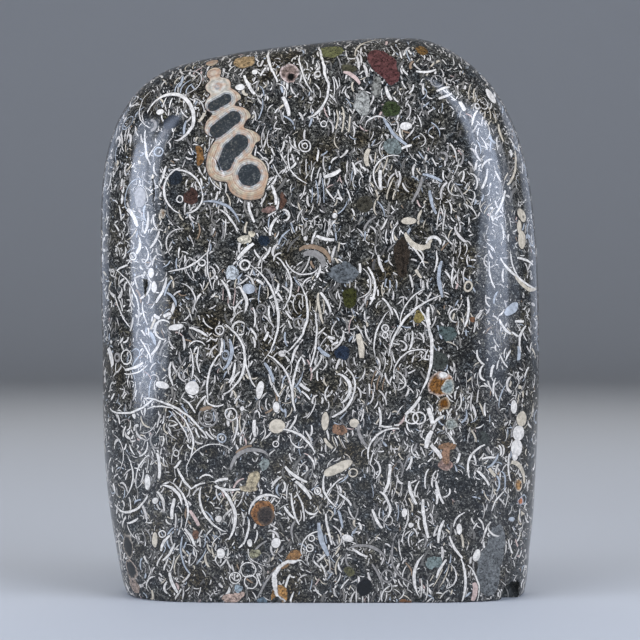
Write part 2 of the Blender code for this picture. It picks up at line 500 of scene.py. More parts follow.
# name: turn in degrees, cell (across, in, up), bend, half wall, reach, slant, share, nest, gap
# (slant and share are plain numbers, the rest is in mm)
SOWINGS = (
    ("broad shells", 0, (9, 9, 13), 6.0, 0.13, 5.6, 0.9, 0.5, ALONE, GAP),
    ("whole rings", 0, (7, 7, 7), 1.6, 0.10, 3.3, 1.6, 0.3, ALONE, GAP),
    ("hooks", 10, (4.5, 4.5, 6), 2.0, 0.13, 2.8, 1.0, 0.45, ALONE, GAP),
    ("stacked slivers", -8, (3, 3, 5.5), 6.0, 0.11, 2.5, 0.6, 0.28, 0.62, GAP),
    ("long slivers", -22, (2.3, 2.6, 5.2), 6.0, 0.17, 2.3, 0.7, 0.6, ALONE, GAP),
    ("long slivers again", 24, (2.1, 2.4, 4.6), 5.0, 0.15, 2.0, 0.7, 0.6, ALONE, GAP),
    ("slivers", 4, (1.7, 2, 3.6), 3.5, 0.13, 1.6, 0.9, 0.6, ALONE, GAP),
    ("slivers again", -38, (1.5, 2, 3.0), 3.0, 0.12, 1.3, 1.0, 0.6, ALONE, GAP),
    ("splinters", 58, (1.3, 1.5, 2.2), 2.0, 0.10, 0.9, 1.2, 0.55, ALONE, NARROW_GAP),
    ("crumbs", 15, (0.95, 0.95, 1.3), 1.0, 0.09, 0.45, 2.0, 0.5, ALONE, NARROW_GAP),
)
# shells and stout pieces as large as those set one by one on the front, for the stone's other sides
LARGE_SOWINGS = (
    ("great shells", 12, (13, 13, 17), 8.0, 0.30, 7.5, 0.8, 0.8, ALONE, GAP),
    ("great shells again", -25, (10, 10, 13), 4.5, 0.30, 4.5, 1.0, 0.8, ALONE, GAP),
    ("stout pieces", -20, (5, 5, 6.5), 5.0, 0.55, 1.5, 1.2, 0.5, ALONE, GAP),
)
print("sowings:", len(SOWINGS), "and", len(LARGE_SOWINGS), "of larger pieces")

# %% The shell hash: the sowings, one after another
SOWING_SHIFT = Vector((31.7, 17.3, 47.9))  # mm, from each sowing to the next, so that no two line up
WAVER = 3.0  # mm, how far the lattice is bent, so that no wall is a perfect arc
WAVER_LENGTH = 11.0  # mm, and over what length
CROWD_LENGTH = 7.0  # mm, how far crowded and empty places lie apart
CROWDING = (0.36, 0.62, 0.4, 1.45)  # the noise there, and by how much it changes a sowing's share


def make_shell_hash(name, sowings, first):
    """A group with these sowings, which are numbered from first."""
    tree, give = new_group(
        name,
        (("Place", VECTOR, (0, 0, 0)), ("Taken", FLOAT, FAR), ("Tone", FLOAT, 0.5)),
        (("Taken", FLOAT), ("Tone", FLOAT)),
    )
    waver = add_node(
        tree, NOISE,
        named={"Vector": give["Place"], "Scale": 1 / WAVER_LENGTH, "Detail": 2.0, "Roughness": 0.45},
    )
    waver = add_node(tree, PARTS, waver.outputs["Color"]).outputs
    waver = add_node(tree, JOIN, waver["Red"], waver["Green"], waver["Blue"]).outputs[0]
    warped = add_node(
        tree, VECTOR_MATH, waver, (WAVER, WAVER, WAVER), give["Place"], operation="MULTIPLY_ADD"
    ).outputs[0]
    # the shells crowd in some places and leave others to the sand
    crowd = add_node(
        tree, NOISE,
        named={"Vector": give["Place"], "Scale": 1 / CROWD_LENGTH, "Detail": 1.5, "Roughness": 0.5},
    ).outputs["Fac"]
    crowd = add_node(tree, RANGE, crowd, *CROWDING).outputs["Result"]
    taken, tone = give["Taken"], give["Tone"]
    for number, sowing in enumerate(sowings, first):
        label, turn, cell, bend, wall, reach, slant, share, nest, gap = sowing
        turned = add_node(
            tree, MAPPING, warped, SOWING_SHIFT * number, (0, math.radians(turn), 0)
        ).outputs[0]
        crowded = add_node(tree, MATH, crowd, share, operation="MULTIPLY").outputs[0]
        sown = add_node(
            tree, GROUP, node_tree=shell_bits, label=label,
            named={
                "Place": turned, "Taken": taken, "Tone": tone, "Cell": cell, "Bend": bend,
                "Wall": wall, "Reach": reach, "Slant": slant, "Share": crowded, "Nest": nest, "Gap": gap,
            },
        )
        taken, tone = sown.outputs["Taken"], sown.outputs["Tone"]
    add_node(tree, "NodeGroupOutput", taken, tone)
    return tree


shell_hash = make_shell_hash("shell_hash", SOWINGS, 0)
large_shell_hash = make_shell_hash("large_shell_hash", LARGE_SOWINGS, len(SOWINGS))
print("shell_hash:", len(shell_hash.nodes), "nodes; large_shell_hash:", len(large_shell_hash.nodes))

# %% [markdown]
# ## The larger shells
#
# Seen from the front, some shells are large enough to know by their place, so those are set one by one.
# Each is given by the pixels of its ends, and of its middle where it bends, with its thickness. The tone
# is a place on the colour ramp that all shell shares. A shell drawn here is a ball's wall too, so it has
# depth in the stone like the sown ones. A painted picture of the face would be quicker, but it would end
# at the edge of the face, and the shells would not go on round the sides.

# %% White shells, upper left: start, (middle,) end, thickness, in pixels of the view
white_shells = [
    (180, 168, 164, 190, 181, 213, 2.6), (170, 171, 191, 174, 201, 198, 2.4),
    (202, 194, 198, 207, 184, 213, 2.2), (147, 116, 187, 100, 175, 140, 4.6),
    (152, 90, 139, 112, 150, 127, 1.6), (146, 130, 151, 165, 2.6), (220, 210, 237, 232, 2.4),
    (249, 202, 255, 222, 3.6), (271, 185, 275, 205, 3.6), (290, 147, 291, 170, 305, 182, 1.5),
    (282, 97, 289, 116, 5), (245, 75, 255, 94, 4), (310, 45, 326, 77, 322, 107, 1.6),
    (300, 55, 312, 92, 2.2), (272, 50, 269, 63, 275, 77, 2), (317, 235, 334, 240, 4),
    (127, 209, 137, 227, 5),
]
print("white shells so far:", len(white_shells))

# %% White shells, upper right: start, (middle,) end, thickness, in pixels of the view
white_shells += [
    (386, 86, 392, 100, 4), (402, 149, 412, 145, 3), (366, 125, 374, 117, 379, 140, 2),
    (400, 157, 376, 166, 381, 190, 1.8), (381, 170, 382, 190, 4), (427, 245, 434, 237, 440, 245, 4),
    (324, 177, 340, 169, 4.6), (352, 162, 355, 175, 3), (416, 71, 436, 69, 3), (437, 92, 450, 87, 3),
    (439, 98, 452, 93, 3), (459, 102, 464, 111, 5), (495, 214, 505, 190, 3),
]
print("white shells so far:", len(white_shells))

# %% White shells, left, halfway up: start, (middle,) end, thickness, in pixels of the view
white_shells += [
    (118, 272, 134, 292, 135, 333, 2), (115, 295, 121, 313, 130, 327, 2),
    (171, 271, 191, 265, 211, 247, 2.2), (155, 302, 166, 277, 3.4), (182, 284, 194, 295, 191, 313, 1.8),
    (170, 335, 155, 327, 168, 322, 3), (189, 328, 208, 337, 3), (154, 315, 160, 318, 4),
    (164, 317, 171, 314, 4), (223, 324, 245, 360, 225, 393, 3), (235, 363, 228, 383, 3),
    (240, 372, 230, 387, 2.4), (223, 352, 209, 373, 209, 400, 2.4), (220, 355, 221, 338, 2.8),
    (221, 280, 230, 300, 3), (241, 290, 246, 298, 228, 319, 4), (238, 260, 254, 244, 4.4),
    (211, 240, 213, 290, 1.6), (108, 348, 112, 367, 6), (125, 369, 143, 362, 3.6),
    (123, 372, 136, 373, 146, 366, 1.8), (171, 362, 173, 385, 2.8), (190, 348, 191, 378, 2),
    (199, 347, 200, 373, 2), (189, 347, 196, 341, 205, 347, 1.6), (246, 355, 248, 372, 256, 387, 2.2),
    (140, 340, 151, 363, 2.2), (143, 302, 148, 325, 1.8), (117, 271, 128, 265, 2.4),
]
print("white shells so far:", len(white_shells))

# %% White shells, middle: start, (middle,) end, thickness, in pixels of the view
white_shells += [
    (257, 271, 278, 310, 251, 370, 3), (274, 256, 291, 282, 284, 307, 2.4),
    (286, 257, 300, 274, 316, 270, 1.8), (300, 285, 307, 320, 280, 355, 2.8),
    (313, 303, 316, 340, 313, 357, 2.4), (320, 293, 330, 312, 3.4), (308, 347, 293, 383, 293, 400, 2.6),
    (270, 357, 286, 372, 290, 400, 2.6), (274, 385, 280, 397, 2.4), (345, 367, 355, 385, 348, 403, 2.2),
    (336, 375, 350, 387, 341, 402, 4), (328, 387, 325, 393, 330, 402, 2),
    (331, 417, 345, 409, 353, 396, 3), (359, 263, 360, 273, 2.8), (361, 262, 375, 285, 373, 298, 2.8),
    (375, 297, 370, 298, 3.4), (379, 255, 384, 272, 3.4), (386, 315, 376, 333, 390, 380, 2),
    (262, 259, 270, 247, 3), (256, 280, 263, 285, 3.4), (300, 383, 310, 390, 4),
    (301, 392, 310, 400, 2.4), (286, 310, 292, 318, 2.4), (250, 328, 256, 340, 3),
    (264, 340, 268, 332, 3), (253, 307, 254, 327, 2.2), (270, 305, 271, 322, 2.6),
    (332, 345, 338, 342, 2.6), (328, 337, 335, 338, 3.4),
]
print("white shells so far:", len(white_shells))

# %% White shells, right, halfway up: start, (middle,) end, thickness, in pixels of the view
white_shells += [
    (423, 315, 432, 350, 411, 403, 4), (439, 297, 406, 318, 389, 360, 2.8),
    (427, 288, 407, 303, 400, 323, 1.8), (427, 351, 404, 355, 394, 372, 2), (412, 331, 409, 350, 2.8),
    (429, 307, 430, 325, 4), (436, 250, 434, 272, 2.2), (454, 268, 453, 288, 2.2),
    (467, 297, 464, 327, 3), (490, 263, 495, 288, 2), (500, 257, 520, 279, 535, 288, 2.6),
    (511, 255, 513, 266, 535, 273, 2.4), (517, 258, 533, 265, 3), (499, 317, 504, 328, 510, 333, 3.6),
    (526, 327, 520, 337, 522, 352, 4), (512, 332, 520, 336, 2.4), (515, 322, 524, 322, 3.4),
    (529, 367, 525, 378, 2.4), (484, 366, 480, 373, 486, 380, 2.8), (494, 365, 491, 377, 3),
    (408, 243, 424, 267, 2.2), (411, 250, 422, 253, 420, 263, 1.8), (382, 298, 392, 315, 2.6),
]
print("white shells so far:", len(white_shells))

# %% White shells, lower left: start, (middle,) end, thickness, in pixels of the view
white_shells += [
    (106, 401, 128, 413, 143, 407, 2.2), (140, 398, 180, 410, 205, 436, 2.4),
    (146, 411, 160, 406, 171, 408, 1.8), (174, 411, 191, 431, 188, 461, 2.2),
    (173, 416, 183, 428, 188, 441, 2), (206, 396, 213, 406, 222, 405, 2), (240, 396, 235, 404, 2.4),
    (236, 414, 237, 428, 233, 441, 2.2), (255, 420, 256, 437, 4.4), (182, 399, 195, 413, 2.2),
    (196, 428, 200, 438, 2.4), (199, 428, 205, 435, 2.4), (206, 431, 214, 439, 2.4),
    (188, 478, 200, 448, 231, 451, 1.3), (215, 486, 240, 489, 3), (215, 483, 228, 479, 3),
    (215, 486, 234, 510, 228, 539, 4), (201, 491, 205, 514, 231, 532, 3), (178, 468, 192, 489, 3),
    (192, 489, 205, 483, 2), (174, 468, 180, 460, 3), (200, 479, 206, 475, 213, 479, 2),
    (164, 486, 176, 491, 180, 508, 3.6), (173, 484, 186, 502, 180, 534, 2.6), (175, 499, 173, 519, 4),
    (113, 499, 130, 512, 145, 499, 2.8), (128, 457, 133, 476, 113, 495, 2.2),
    (115, 436, 123, 451, 113, 473, 1.6), (137, 491, 138, 469, 148, 456, 1.8), (156, 453, 158, 478, 4),
    (127, 523, 138, 518, 2.6), (161, 551, 170, 535, 3.4), (162, 560, 175, 543, 3),
    (184, 529, 194, 546, 3.4), (170, 572, 178, 592, 4), (147, 588, 148, 580, 156, 577, 2),
]
print("white shells so far:", len(white_shells))

# %% White shells, lower middle: start, (middle,) end, thickness, in pixels of the view
white_shells += [
    (281, 430, 301, 436, 315, 456, 3), (291, 438, 295, 446, 304, 446, 2),
    (287, 468, 295, 476, 310, 482, 4), (295, 482, 311, 499, 4.2), (292, 493, 300, 524, 2.6),
    (296, 492, 304, 521, 2.2), (285, 506, 295, 518, 3), (306, 509, 311, 514, 318, 509, 2.4),
    (326, 513, 328, 529, 332, 544, 2.6), (305, 560, 305, 539, 313, 533, 1.6),
    (325, 473, 325, 493, 336, 506, 2.4), (326, 496, 343, 478, 1.8), (371, 466, 376, 436, 392, 429, 2.4),
    (379, 407, 379, 427, 3), (380, 425, 392, 426, 2.6), (375, 460, 380, 468, 373, 479, 2.4),
    (389, 464, 389, 479, 383, 493, 4), (339, 494, 351, 506, 3), (373, 509, 383, 528, 3.6),
    (378, 491, 389, 503, 388, 516, 3), (250, 511, 260, 497, 283, 504, 3.4), (248, 519, 243, 544, 2.6),
    (353, 548, 368, 556, 3), (297, 562, 275, 573, 256, 604, 2),
]
print("white shells so far:", len(white_shells))

# %% White shells, lower right: start, (middle,) end, thickness, in pixels of the view
white_shells += [
    (405, 414, 420, 396, 4), (434, 424, 444, 416, 3), (409, 481, 417, 504, 4),
    (424, 499, 424, 519, 429, 538, 4), (437, 481, 444, 503, 3.4), (435, 489, 436, 504, 3),
    (448, 487, 449, 494, 445, 496, 2), (439, 543, 444, 520, 3.6), (450, 536, 463, 558, 3),
    (454, 526, 457, 518, 466, 513, 2), (489, 528, 492, 534, 501, 535, 2.4), (492, 511, 504, 492, 2),
    (509, 539, 513, 553, 2.4), (476, 471, 489, 486, 3), (474, 484, 470, 458, 479, 448, 2.6),
    (482, 459, 495, 458, 2.6), (510, 454, 511, 481, 2.6), (447, 433, 454, 444, 2.4),
    (456, 463, 459, 453, 3), (466, 564, 478, 582, 477, 600, 2), (461, 560, 466, 580, 461, 602, 3),
    (453, 567, 456, 578, 438, 588, 2), (447, 560, 437, 578, 3), (420, 560, 414, 575, 427, 602, 4),
    (382, 601, 383, 592, 392, 586, 2), (427, 408, 432, 424, 6), (433, 431, 426, 448, 6),
    (430, 445, 441, 459, 5),
]
print("white shells so far:", len(white_shells))

# %% Shells of every tone: start, (middle,) end, thickness, in pixels of the view
WHITE, BLUISH, CREAM, GREY, TAN, PINK = 0.5, 0.82, 0.87, 0.91, 0.975, 0.995  # places on TONES, below
SHELLS = {
    WHITE: white_shells,
    BLUISH: (
        (206, 202, 225, 205, 239, 227, 3.4), (384, 117, 407, 144, 4), (422, 175, 442, 182, 3.6),
        (430, 190, 437, 214, 4), (165, 296, 172, 280, 2.6), (230, 343, 231, 356, 218, 372, 4.5),
        (264, 363, 273, 382, 4), (318, 347, 330, 356, 4.4), (442, 262, 439, 279, 444, 298, 4.6),
        (320, 528, 322, 540, 333, 560, 6), (518, 346, 518, 360, 4.5),
    ),
    CREAM: (
        (356, 60, 362, 44, 377, 40, 2.6), (371, 149, 366, 157, 368, 165, 5.5),
        (406, 232, 415, 245, 430, 245, 6), (499, 124, 504, 142, 3), (514, 147, 515, 170, 509, 182, 4),
        (319, 293, 324, 323, 3.2), (357, 334, 361, 346, 361, 358, 7), (515, 273, 527, 288, 536, 287, 5),
        (410, 240, 422, 248, 430, 240, 5), (325, 438, 333, 448, 4), (510, 463, 521, 468, 524, 482, 6),
        (489, 468, 496, 476, 4),
    ),
    GREY: (
        (421, 177, 411, 202, 4), (352, 548, 370, 546, 386, 565, 4), (359, 425, 360, 436, 370, 446, 4),
        (231, 472, 245, 451, 267, 455, 5), (303, 257, 317, 255, 322, 268, 8),
        (374, 567, 379, 576, 383, 593, 3), (272, 574, 265, 584, 257, 602, 2.6),
    ),
    TAN: (
        (300, 251, 318, 248, 329, 264, 6), (201, 411, 206, 408, 213, 409, 4),
        (236, 454, 243, 448, 252, 446, 3),
    ),
    PINK: ((189, 511, 198, 526, 4.4), (345, 73, 353, 76, 359, 86, 5), (474, 583, 475, 592, 472, 601, 6)),
}
print("shells by their place:", sum(len(shells) for shells in SHELLS.values()))

# %% Rings, cut across a whole shell: middle, radius, thickness, in pixels
RINGS_OF_SHELL = {
    WHITE: (
        (305, 146, 6, 1.3), (305, 146, 2.8, 1.2), (180, 199, 3, 1.3), (324, 124, 3, 1.3),
        (245, 265, 4.7, 2.2), (220, 330, 4, 1.6), (126, 357, 7.2, 1.6), (133, 256, 3.7, 1.5),
        (385, 328, 3.5, 1.5), (385, 335, 2.8, 1.5), (231, 414, 6, 1.6), (276, 444, 3, 1.3),
        (176, 453, 3, 1.3), (318, 491, 3, 1.3), (312, 538, 3, 1.3), (310, 548, 3.4, 1.3),
        (162, 534, 3.3, 1.4), (412, 418, 6, 1.8), (419, 418, 6, 1.8), (248, 570, 7.5, 1.3),
        (251, 582, 6.5, 1.3), (235, 578, 5.5, 1.3), (534, 439, 5, 1.6),
    ),
    CREAM: ((353, 473, 4, 1.5),),
    GREY: (
        (298, 323, 4.7, 1.5), (437, 81, 6, 1.5), (141, 538, 5, 1.4), (208, 417, 9.2, 2),
        (208, 417, 4.6, 1.6), (387, 576, 6, 1.6),
    ),
}
print("rings:", sum(len(rings) for rings in RINGS_OF_SHELL.values()))

# %% Stout pieces of shell: middle, half width, half height, in pixels, and lean in degrees
LUMPS = {
    WHITE: (
        (160, 112, 4, 3, 0), (240, 87, 5, 3, 0), (255, 72, 3, 3, 0), (192, 388, 7, 7, 0),
        (162, 385, 7, 3.5, 10), (151, 273, 3, 5, 0), (154, 287, 2.6, 6, 0), (260, 390, 3.5, 9, 10),
        (276, 407, 3.4, 5, 0), (242, 408, 2.2, 2.2, 0), (221, 553, 4, 5, 0), (250, 543, 2.5, 4, 0),
        (443, 375, 4, 3, 0), (276, 543, 4.5, 5, 20), (348, 538, 6, 3.5, 15), (491, 96, 6, 9, -20),
        (406, 126, 6, 4, 0), (514, 407, 4, 7, 0), (176, 327, 8, 3, -10), (147, 482, 3, 8, 0),
        (477, 555, 3.8, 6.5, 15), (459, 529, 2.8, 5.6, 0), (405, 513, 2.8, 4.6, 0),
        (411, 525, 2.4, 2.4, 0), (517, 448, 9, 8.5, 0), (515, 456, 4, 5, 0), (519, 433, 10, 7.5, 0),
    ),
    BLUISH: ((249, 289, 6, 5, 0), (512, 309, 13, 5, -33), (512, 519, 6.5, 2.2, 0)),
    GREY: ((140, 197, 6, 10, 0),),
    CREAM: (
        (277, 426, 8, 7, -20), (409, 221, 7.5, 3.5, 0), (519.5, 227, 3, 7.5, 0), (522, 240, 5.5, 9, 0),
        (522, 419, 9, 7.5, 0), (325, 421, 3.6, 9, 0), (354, 423, 4.6, 4.6, 0), (338, 468, 16, 5, -25),
        (155, 540, 2.8, 8, 0),
    ),
}
print("stout pieces:", sum(len(pieces) for pieces in LUMPS.values()))

# %% Pebbles in the old sand: middle, half width, half height, lean, colour
PEBBLES = (
    (332, 51, 12, 12, 0, "#6E6C44"), (383, 63, 12, 25, -33, "#5E3A36"), (422, 50, 6, 8, 0, "#7A5A30"),
    (244, 61, 11, 12, 10, "#AC8E64"), (199, 155, 3.5, 10, 0, "#8A6238"), (171, 122, 7.5, 7, 0, "#23272E"),
    (391, 110, 9, 8, 0, "#3C4428"), (393, 146.5, 9.5, 8.5, 0, "#7E847C"), (362, 103, 8, 12, 0, "#A8A498"),
    (377, 88, 4, 11, 0, "#8E8A7E"), (245, 239, 7, 4, 0, "#E2D4B8"), (252, 233, 4, 3, 0, "#D8C8AA"),
    (282, 200, 3, 8, 0, "#5C4234"), (269, 210, 7, 3, 0, "#866A5E"), (264, 240, 6, 5.5, 0, "#26303A"),
    (345, 273, 15, 10, 0, "#6A6C6A"), (350, 298, 8, 11, 0, "#3E3E1C"), (342, 352, 8, 6.5, 0, "#2A3340"),
    (419, 316, 5.3, 6.3, 0, "#8E7C48"), (448, 333, 7.5, 7.5, 0, "#545E58"),
    (439, 361, 8, 8.5, 0, "#494B43"), (340, 430, 8, 5.5, 0, "#967054"), (447, 447, 8, 4.6, 0, "#957050"),
    (445, 466, 7.5, 5, 0, "#A08070"), (446, 456, 4, 9, 0, "#997458"), (294, 557, 10, 5, -35, "#A07446"),
    (283, 565, 6, 3.4, -35, "#8E6C48"), (275, 571, 4.5, 2.6, -50, "#7C6850"),
    (280, 595, 8.5, 9.5, 0, "#B08048"), (408, 602, 9, 2.5, 0, "#7A5230"), (365, 587, 8, 8, 0, "#111416"),
    (434, 562, 8, 7, 0, "#7C867E"), (473, 319, 3.3, 3.3, 0, "#7A5438"), (196, 535, 4.4, 5, 0, "#745440"),
    (255, 553, 6, 4, -25, "#9C9474"), (232, 273, 6.5, 6.5, 0, "#C4C4BE"), (192, 383, 4, 4, 0, "#8C8E92"),
    (175, 177, 7, 8, 0, "#262B30"), (190, 196, 6, 7, 20, "#4A332A"), (402, 257, 7, 20, 0, "#3A3026"),
    (350, 68, 8, 5, 10, "#4A4634"), (489, 572, 12, 27, 0, "#72726E"), (496, 550, 10, 24, 5, "#6E6E6A"),
    (263, 602, 5, 5, 0, "#6C7A80"), (239, 588, 4, 4, 0, "#A4AEAE"), (232, 598, 12, 4.6, -18, "#BCA08C"),
    (349, 571, 5, 5, 0, "#5C583A"), (134, 586, 10, 8, 0, "#A48E7C"), (253, 481, 5.5, 11, 25, "#B6A482"),
    (249, 489, 9, 4, 0, "#B8A686"), (264, 464, 4.5, 6.5, 0, "#84887E"), (364, 205, 9, 8, 0, "#454034"),
    (484, 440, 7, 9, 0, "#40423C"),
)
# shells filled with silica of another colour: as above, with the colour of the rim added
FILLED_SHELLS = (
    (440, 384, 12.5, 12, 0, "#8A5C2C", "#D0B8A4"), (448, 387, 6.5, 7.5, 0, "#8C948C", "#C8C0AC"),
    (444, 404, 6.5, 6, 0, "#70440F", "#C0A684"), (451, 424, 7, 5.5, -20, "#94968A", "#BCB8A6"),
    (263, 513, 12, 12.5, 0, "#8A5C34", "#B07A4A"), (266, 516, 9, 9.5, 0, "#40362E", "#6E5844"),
    (289, 72, 9, 11, 0, "#806C60", "#E0C8BA"), (291, 77, 6, 5.5, -15, "#0C0C0C", "#B89C8C"),
    (128, 546, 8.5, 12.5, 0, "#262725", "#B0A290"), (131, 569.5, 9.5, 11, 0, "#262725", "#C2AE9A"),
    (519, 484, 8, 7, 0, "#B88850", "#D0C4B0"), (521, 501, 7, 4.5, 0, "#B46C42", "#BCC0C2"),
    (162, 213, 3, 4, 0, "#8A6A48", "#C8BCA8"),
)
print("pebbles:", len(PEBBLES), "and filled shells:", len(FILLED_SHELLS))

# %% Quiet places, with sand and crumbs only: middle, radius
QUIET_PLACES = ((208, 466, 19), (457, 497, 25), (403, 262, 12), (490, 562, 14), (246, 466, 11))
QUIET_SPACE = 0.09  # mm: less than the gap that all but the finest sowings keep
print("quiet places:", len(QUIET_PLACES))

# %% [markdown]
# ## From a shell's place to its nodes
#
# Three places settle a ball: the sphere whose middle lies in their plane and that passes through all
# three. A shell's outer face is that ball, and its inner face is a second one, moved back a little, so
# the wall is thickest in the middle and thins towards its ends, as a broken shell's does. A third ball,
# round the shell's middle, cuts it to length.
#
# The block's front is shared out over panels, each with its own material, because a shader works out
# everything it holds at every point. A panel's material holds only the shells that reach into it.

# %% Panels over the front, and what reaches into them
PANEL_COLUMNS, PANEL_ROWS = 4, 5
PANEL_SIZE = Vector((WIDTH / PANEL_COLUMNS, THICKNESS, HEIGHT / PANEL_ROWS)) / MM
PANEL_MARGIN = 2.5  # mm, because a panel's edge follows the mesh
LEFT_EDGE = -WIDTH / MM / 2


def panel_of(place):
    """The column and row of the panel that a place on the front, in mm, lies in."""
    column = int((place.x - LEFT_EDGE) / PANEL_SIZE.x)
    row = int(place.z / PANEL_SIZE.z)
    return min(max(column, 0), PANEL_COLUMNS - 1), min(max(row, 0), PANEL_ROWS - 1)


def reaches_panel(place, reach, panel):
    """Whether a piece with this middle and reach, in mm, comes near enough to a panel to show in it."""
    column, row = panel
    left = LEFT_EDGE + column * PANEL_SIZE.x
    low = row * PANEL_SIZE.z
    beside = max(left - place.x, place.x - left - PANEL_SIZE.x)
    above = max(low - place.z, place.z - low - PANEL_SIZE.z)
    return max(beside, above) < reach + PANEL_MARGIN


print("panels:", PANEL_COLUMNS * PANEL_ROWS, "of", [round(side, 1) for side in PANEL_SIZE], "mm")

# %% A shell's measures on the stone
WALL_SHARE = 0.82  # what a line's width in the view owes to the wall; the rest is the view's softness


def ball_through(first, second, third):
    """The middle and the radius of the circle through three places."""
    a, b = first - third, second - third
    across = a.cross(b)
    towards = (a.length_squared * b - b.length_squared * a).cross(across)
    centre = third + towards / (2 * across.length_squared)
    return centre, (first - centre).length


def measure_shell(numbers, bulge):
    """The start, middle and end of a shell on the stone, in mm, and its thickness."""
    *pixels, thickness = numbers
    places = [on_stone(pixels[i], pixels[i + 1]) for i in range(0, len(pixels), 2)]
    if len(places) == 2:
        start, end = places
        along = end - start
        sideways = Vector((-along.z, 0, along.x)) * bulge
        places.insert(1, (start + end) / 2 + sideways)
    return (*places, thickness * WALL_SHARE * PIXEL)


print("a ball of radius 1 again:", ball_through(Vector((1, 0, 0)), Vector((0, 0, 1)), Vector((-1, 0, 0))))

# %% One shell's wall, one ring, one stout piece
END_SHARE = 0.35  # the wall's thickness at its ends, as a share of that in its middle
LEAST_OPENING = 1e-3  # keeps the thinning within bounds where a shell hardly bends


def draw_shell(tree, place, middle, start, end, thickness):
    """The distance to one shell's wall."""
    centre, radius = ball_through(start, middle, end)
    towards = (middle - centre).normalized()
    opening = max(1 - (start - centre).normalized().dot(towards), LEAST_OPENING)
    back = thickness * (1 - END_SHARE) / opening
    outer = add_node(tree, VECTOR_MATH, place, centre, operation="DISTANCE").outputs["Value"]
    outer = add_node(tree, MATH, outer, radius + thickness / 2, operation="SUBTRACT").outputs[0]
    inner_centre = centre - towards * back
    inner_radius = radius - thickness / 2 + back
    inner = add_node(tree, VECTOR_MATH, place, inner_centre, operation="DISTANCE").outputs["Value"]
    inner = add_node(tree, MATH, inner_radius, inner, operation="SUBTRACT").outputs[0]
    wall = add_node(tree, MATH, outer, inner, operation="MAXIMUM").outputs[0]
    ends = add_node(tree, VECTOR_MATH, place, middle, operation="DISTANCE").outputs["Value"]
    reach = ((start - middle).length + (end - middle).length) / 2
    ends = add_node(tree, MATH, ends, reach, operation="SUBTRACT").outputs[0]
    return add_node(tree, MATH, wall, ends, operation="MAXIMUM").outputs[0]


def draw_ring(tree, place, centre, radius, thickness):
    """The distance to a ball's wall."""
    away = add_node(tree, VECTOR_MATH, place, centre, operation="DISTANCE").outputs["Value"]
    off = add_node(tree, MATH, away, radius, operation="SUBTRACT").outputs[0]
    off = add_node(tree, MATH, off, operation="ABSOLUTE").outputs[0]
    return add_node(tree, MATH, off, thickness / 2, operation="SUBTRACT").outputs[0]


def draw_lump(tree, place, centre, half_width, half_height, lean):
    """The distance to an ovoid, whose depth lies between its width and its height."""
    narrow = min(half_width, half_height)
    depth = math.sqrt(half_width * half_height)
    mapped = add_node(
        tree, MAPPING, place, centre, (0, math.radians(lean), 0), (half_width, depth, half_height),
        vector_type="TEXTURE",
    ).outputs[0]
    share = add_node(tree, VECTOR_MATH, mapped, operation="LENGTH").outputs["Value"]
    return add_node(tree, MATH, share, narrow, -narrow, operation="MULTIPLY_ADD").outputs[0]


def nearest(tree, distances):
    """The smallest of several distances."""
    found = distances[0]
    for distance in distances[1:]:
        found = add_node(tree, MATH, found, distance, operation="MINIMUM").outputs[0]
    return found


print("a wall's ends have", END_SHARE, "of the thickness in its middle")

# %% Where everything lies, in mm
STRAIGHT_BULGE = 0.09  # how far a shell given by two places bends, as a share of its length
# tone, middle, reach, the function that draws it, and what that is given besides the middle
drawn_shells = []
for tone, shells in SHELLS.items():
    for count, numbers in enumerate(shells):
        start, middle, end, thickness = measure_shell(numbers, STRAIGHT_BULGE * (-1) ** count)
        reach = max((middle - start).length, (middle - end).length)
        drawn_shells.append((tone, middle, reach, draw_shell, (start, end, thickness)))
for tone, rings in RINGS_OF_SHELL.items():
    for across, down, radius, thickness in rings:
        sizes = (radius * PIXEL, thickness * WALL_SHARE * PIXEL)
        drawn_shells.append((tone, on_stone(across, down), radius * PIXEL, draw_ring, sizes))
for tone, pieces in LUMPS.items():
    for across, down, wide, high, lean in pieces:
        sizes = (wide * PIXEL, high * PIXEL, lean)
        drawn_shells.append((tone, on_stone(across, down), max(wide, high) * PIXEL, draw_lump, sizes))
# middle, half width, half height, lean, colours
drawn_pebbles = [
    (on_stone(across, down), wide * PIXEL, high * PIXEL, lean, colours)
    for across, down, wide, high, lean, *colours in PEBBLES + FILLED_SHELLS
]
# middle, radius
drawn_quiet_places = [(on_stone(across, down), radius * PIXEL) for across, down, radius in QUIET_PLACES]
longest = max(reach for tone, middle, reach, draw, sizes in drawn_shells)
print("drawn shells:", len(drawn_shells), "the longest reaches", round(longest, 1), "mm from its middle")

# %% [markdown]
# ## The sand between the shells
#
# The dark ground is old lake sand: grains of a few tenths of a millimetre, from nearly black to smoky
# grey, under clear silica. Here and there it is stained brown, olive or bluish. Close to a shell it is
# darker, since the silica there is deep and clear. A noise alone would look like smoke, so the grains
# are a cell pattern, with one grey to a cell, and a finer noise only lightens and darkens them.

# %% The sand's colour
GRAIN = 0.33  # mm
FINE_GRAIN = 0.22  # mm
STAIN = 9.0  # mm
SAND_GREYS = (
    (0.0, "#131312"), (0.3, "#252421"), (0.55, "#3B3933"), (0.75, "#504D45"), (0.9, "#6A665C"),
    (1.0, "#8A867A"),
)
STAINS = (
    (0.30, "#CDBC9E"), (0.40, "#EAE2D2"), (0.47, "#FFFFFF"), (0.54, "#EEF0F4"), (0.60, "#CCD6E6"),
    (0.67, "#E6DFCE"), (0.76, "#C4BEA0"),
)
# ranges: from these two values, to these two
FINE_LIGHT = (0.38, 0.62, 0.18, 1.38)  # the fine noise, to how light it makes the sand
NEAR_SHELL_LIGHT = (0.0, 0.22, 0.6, 1.0)  # mm from a shell, to how light the sand is there


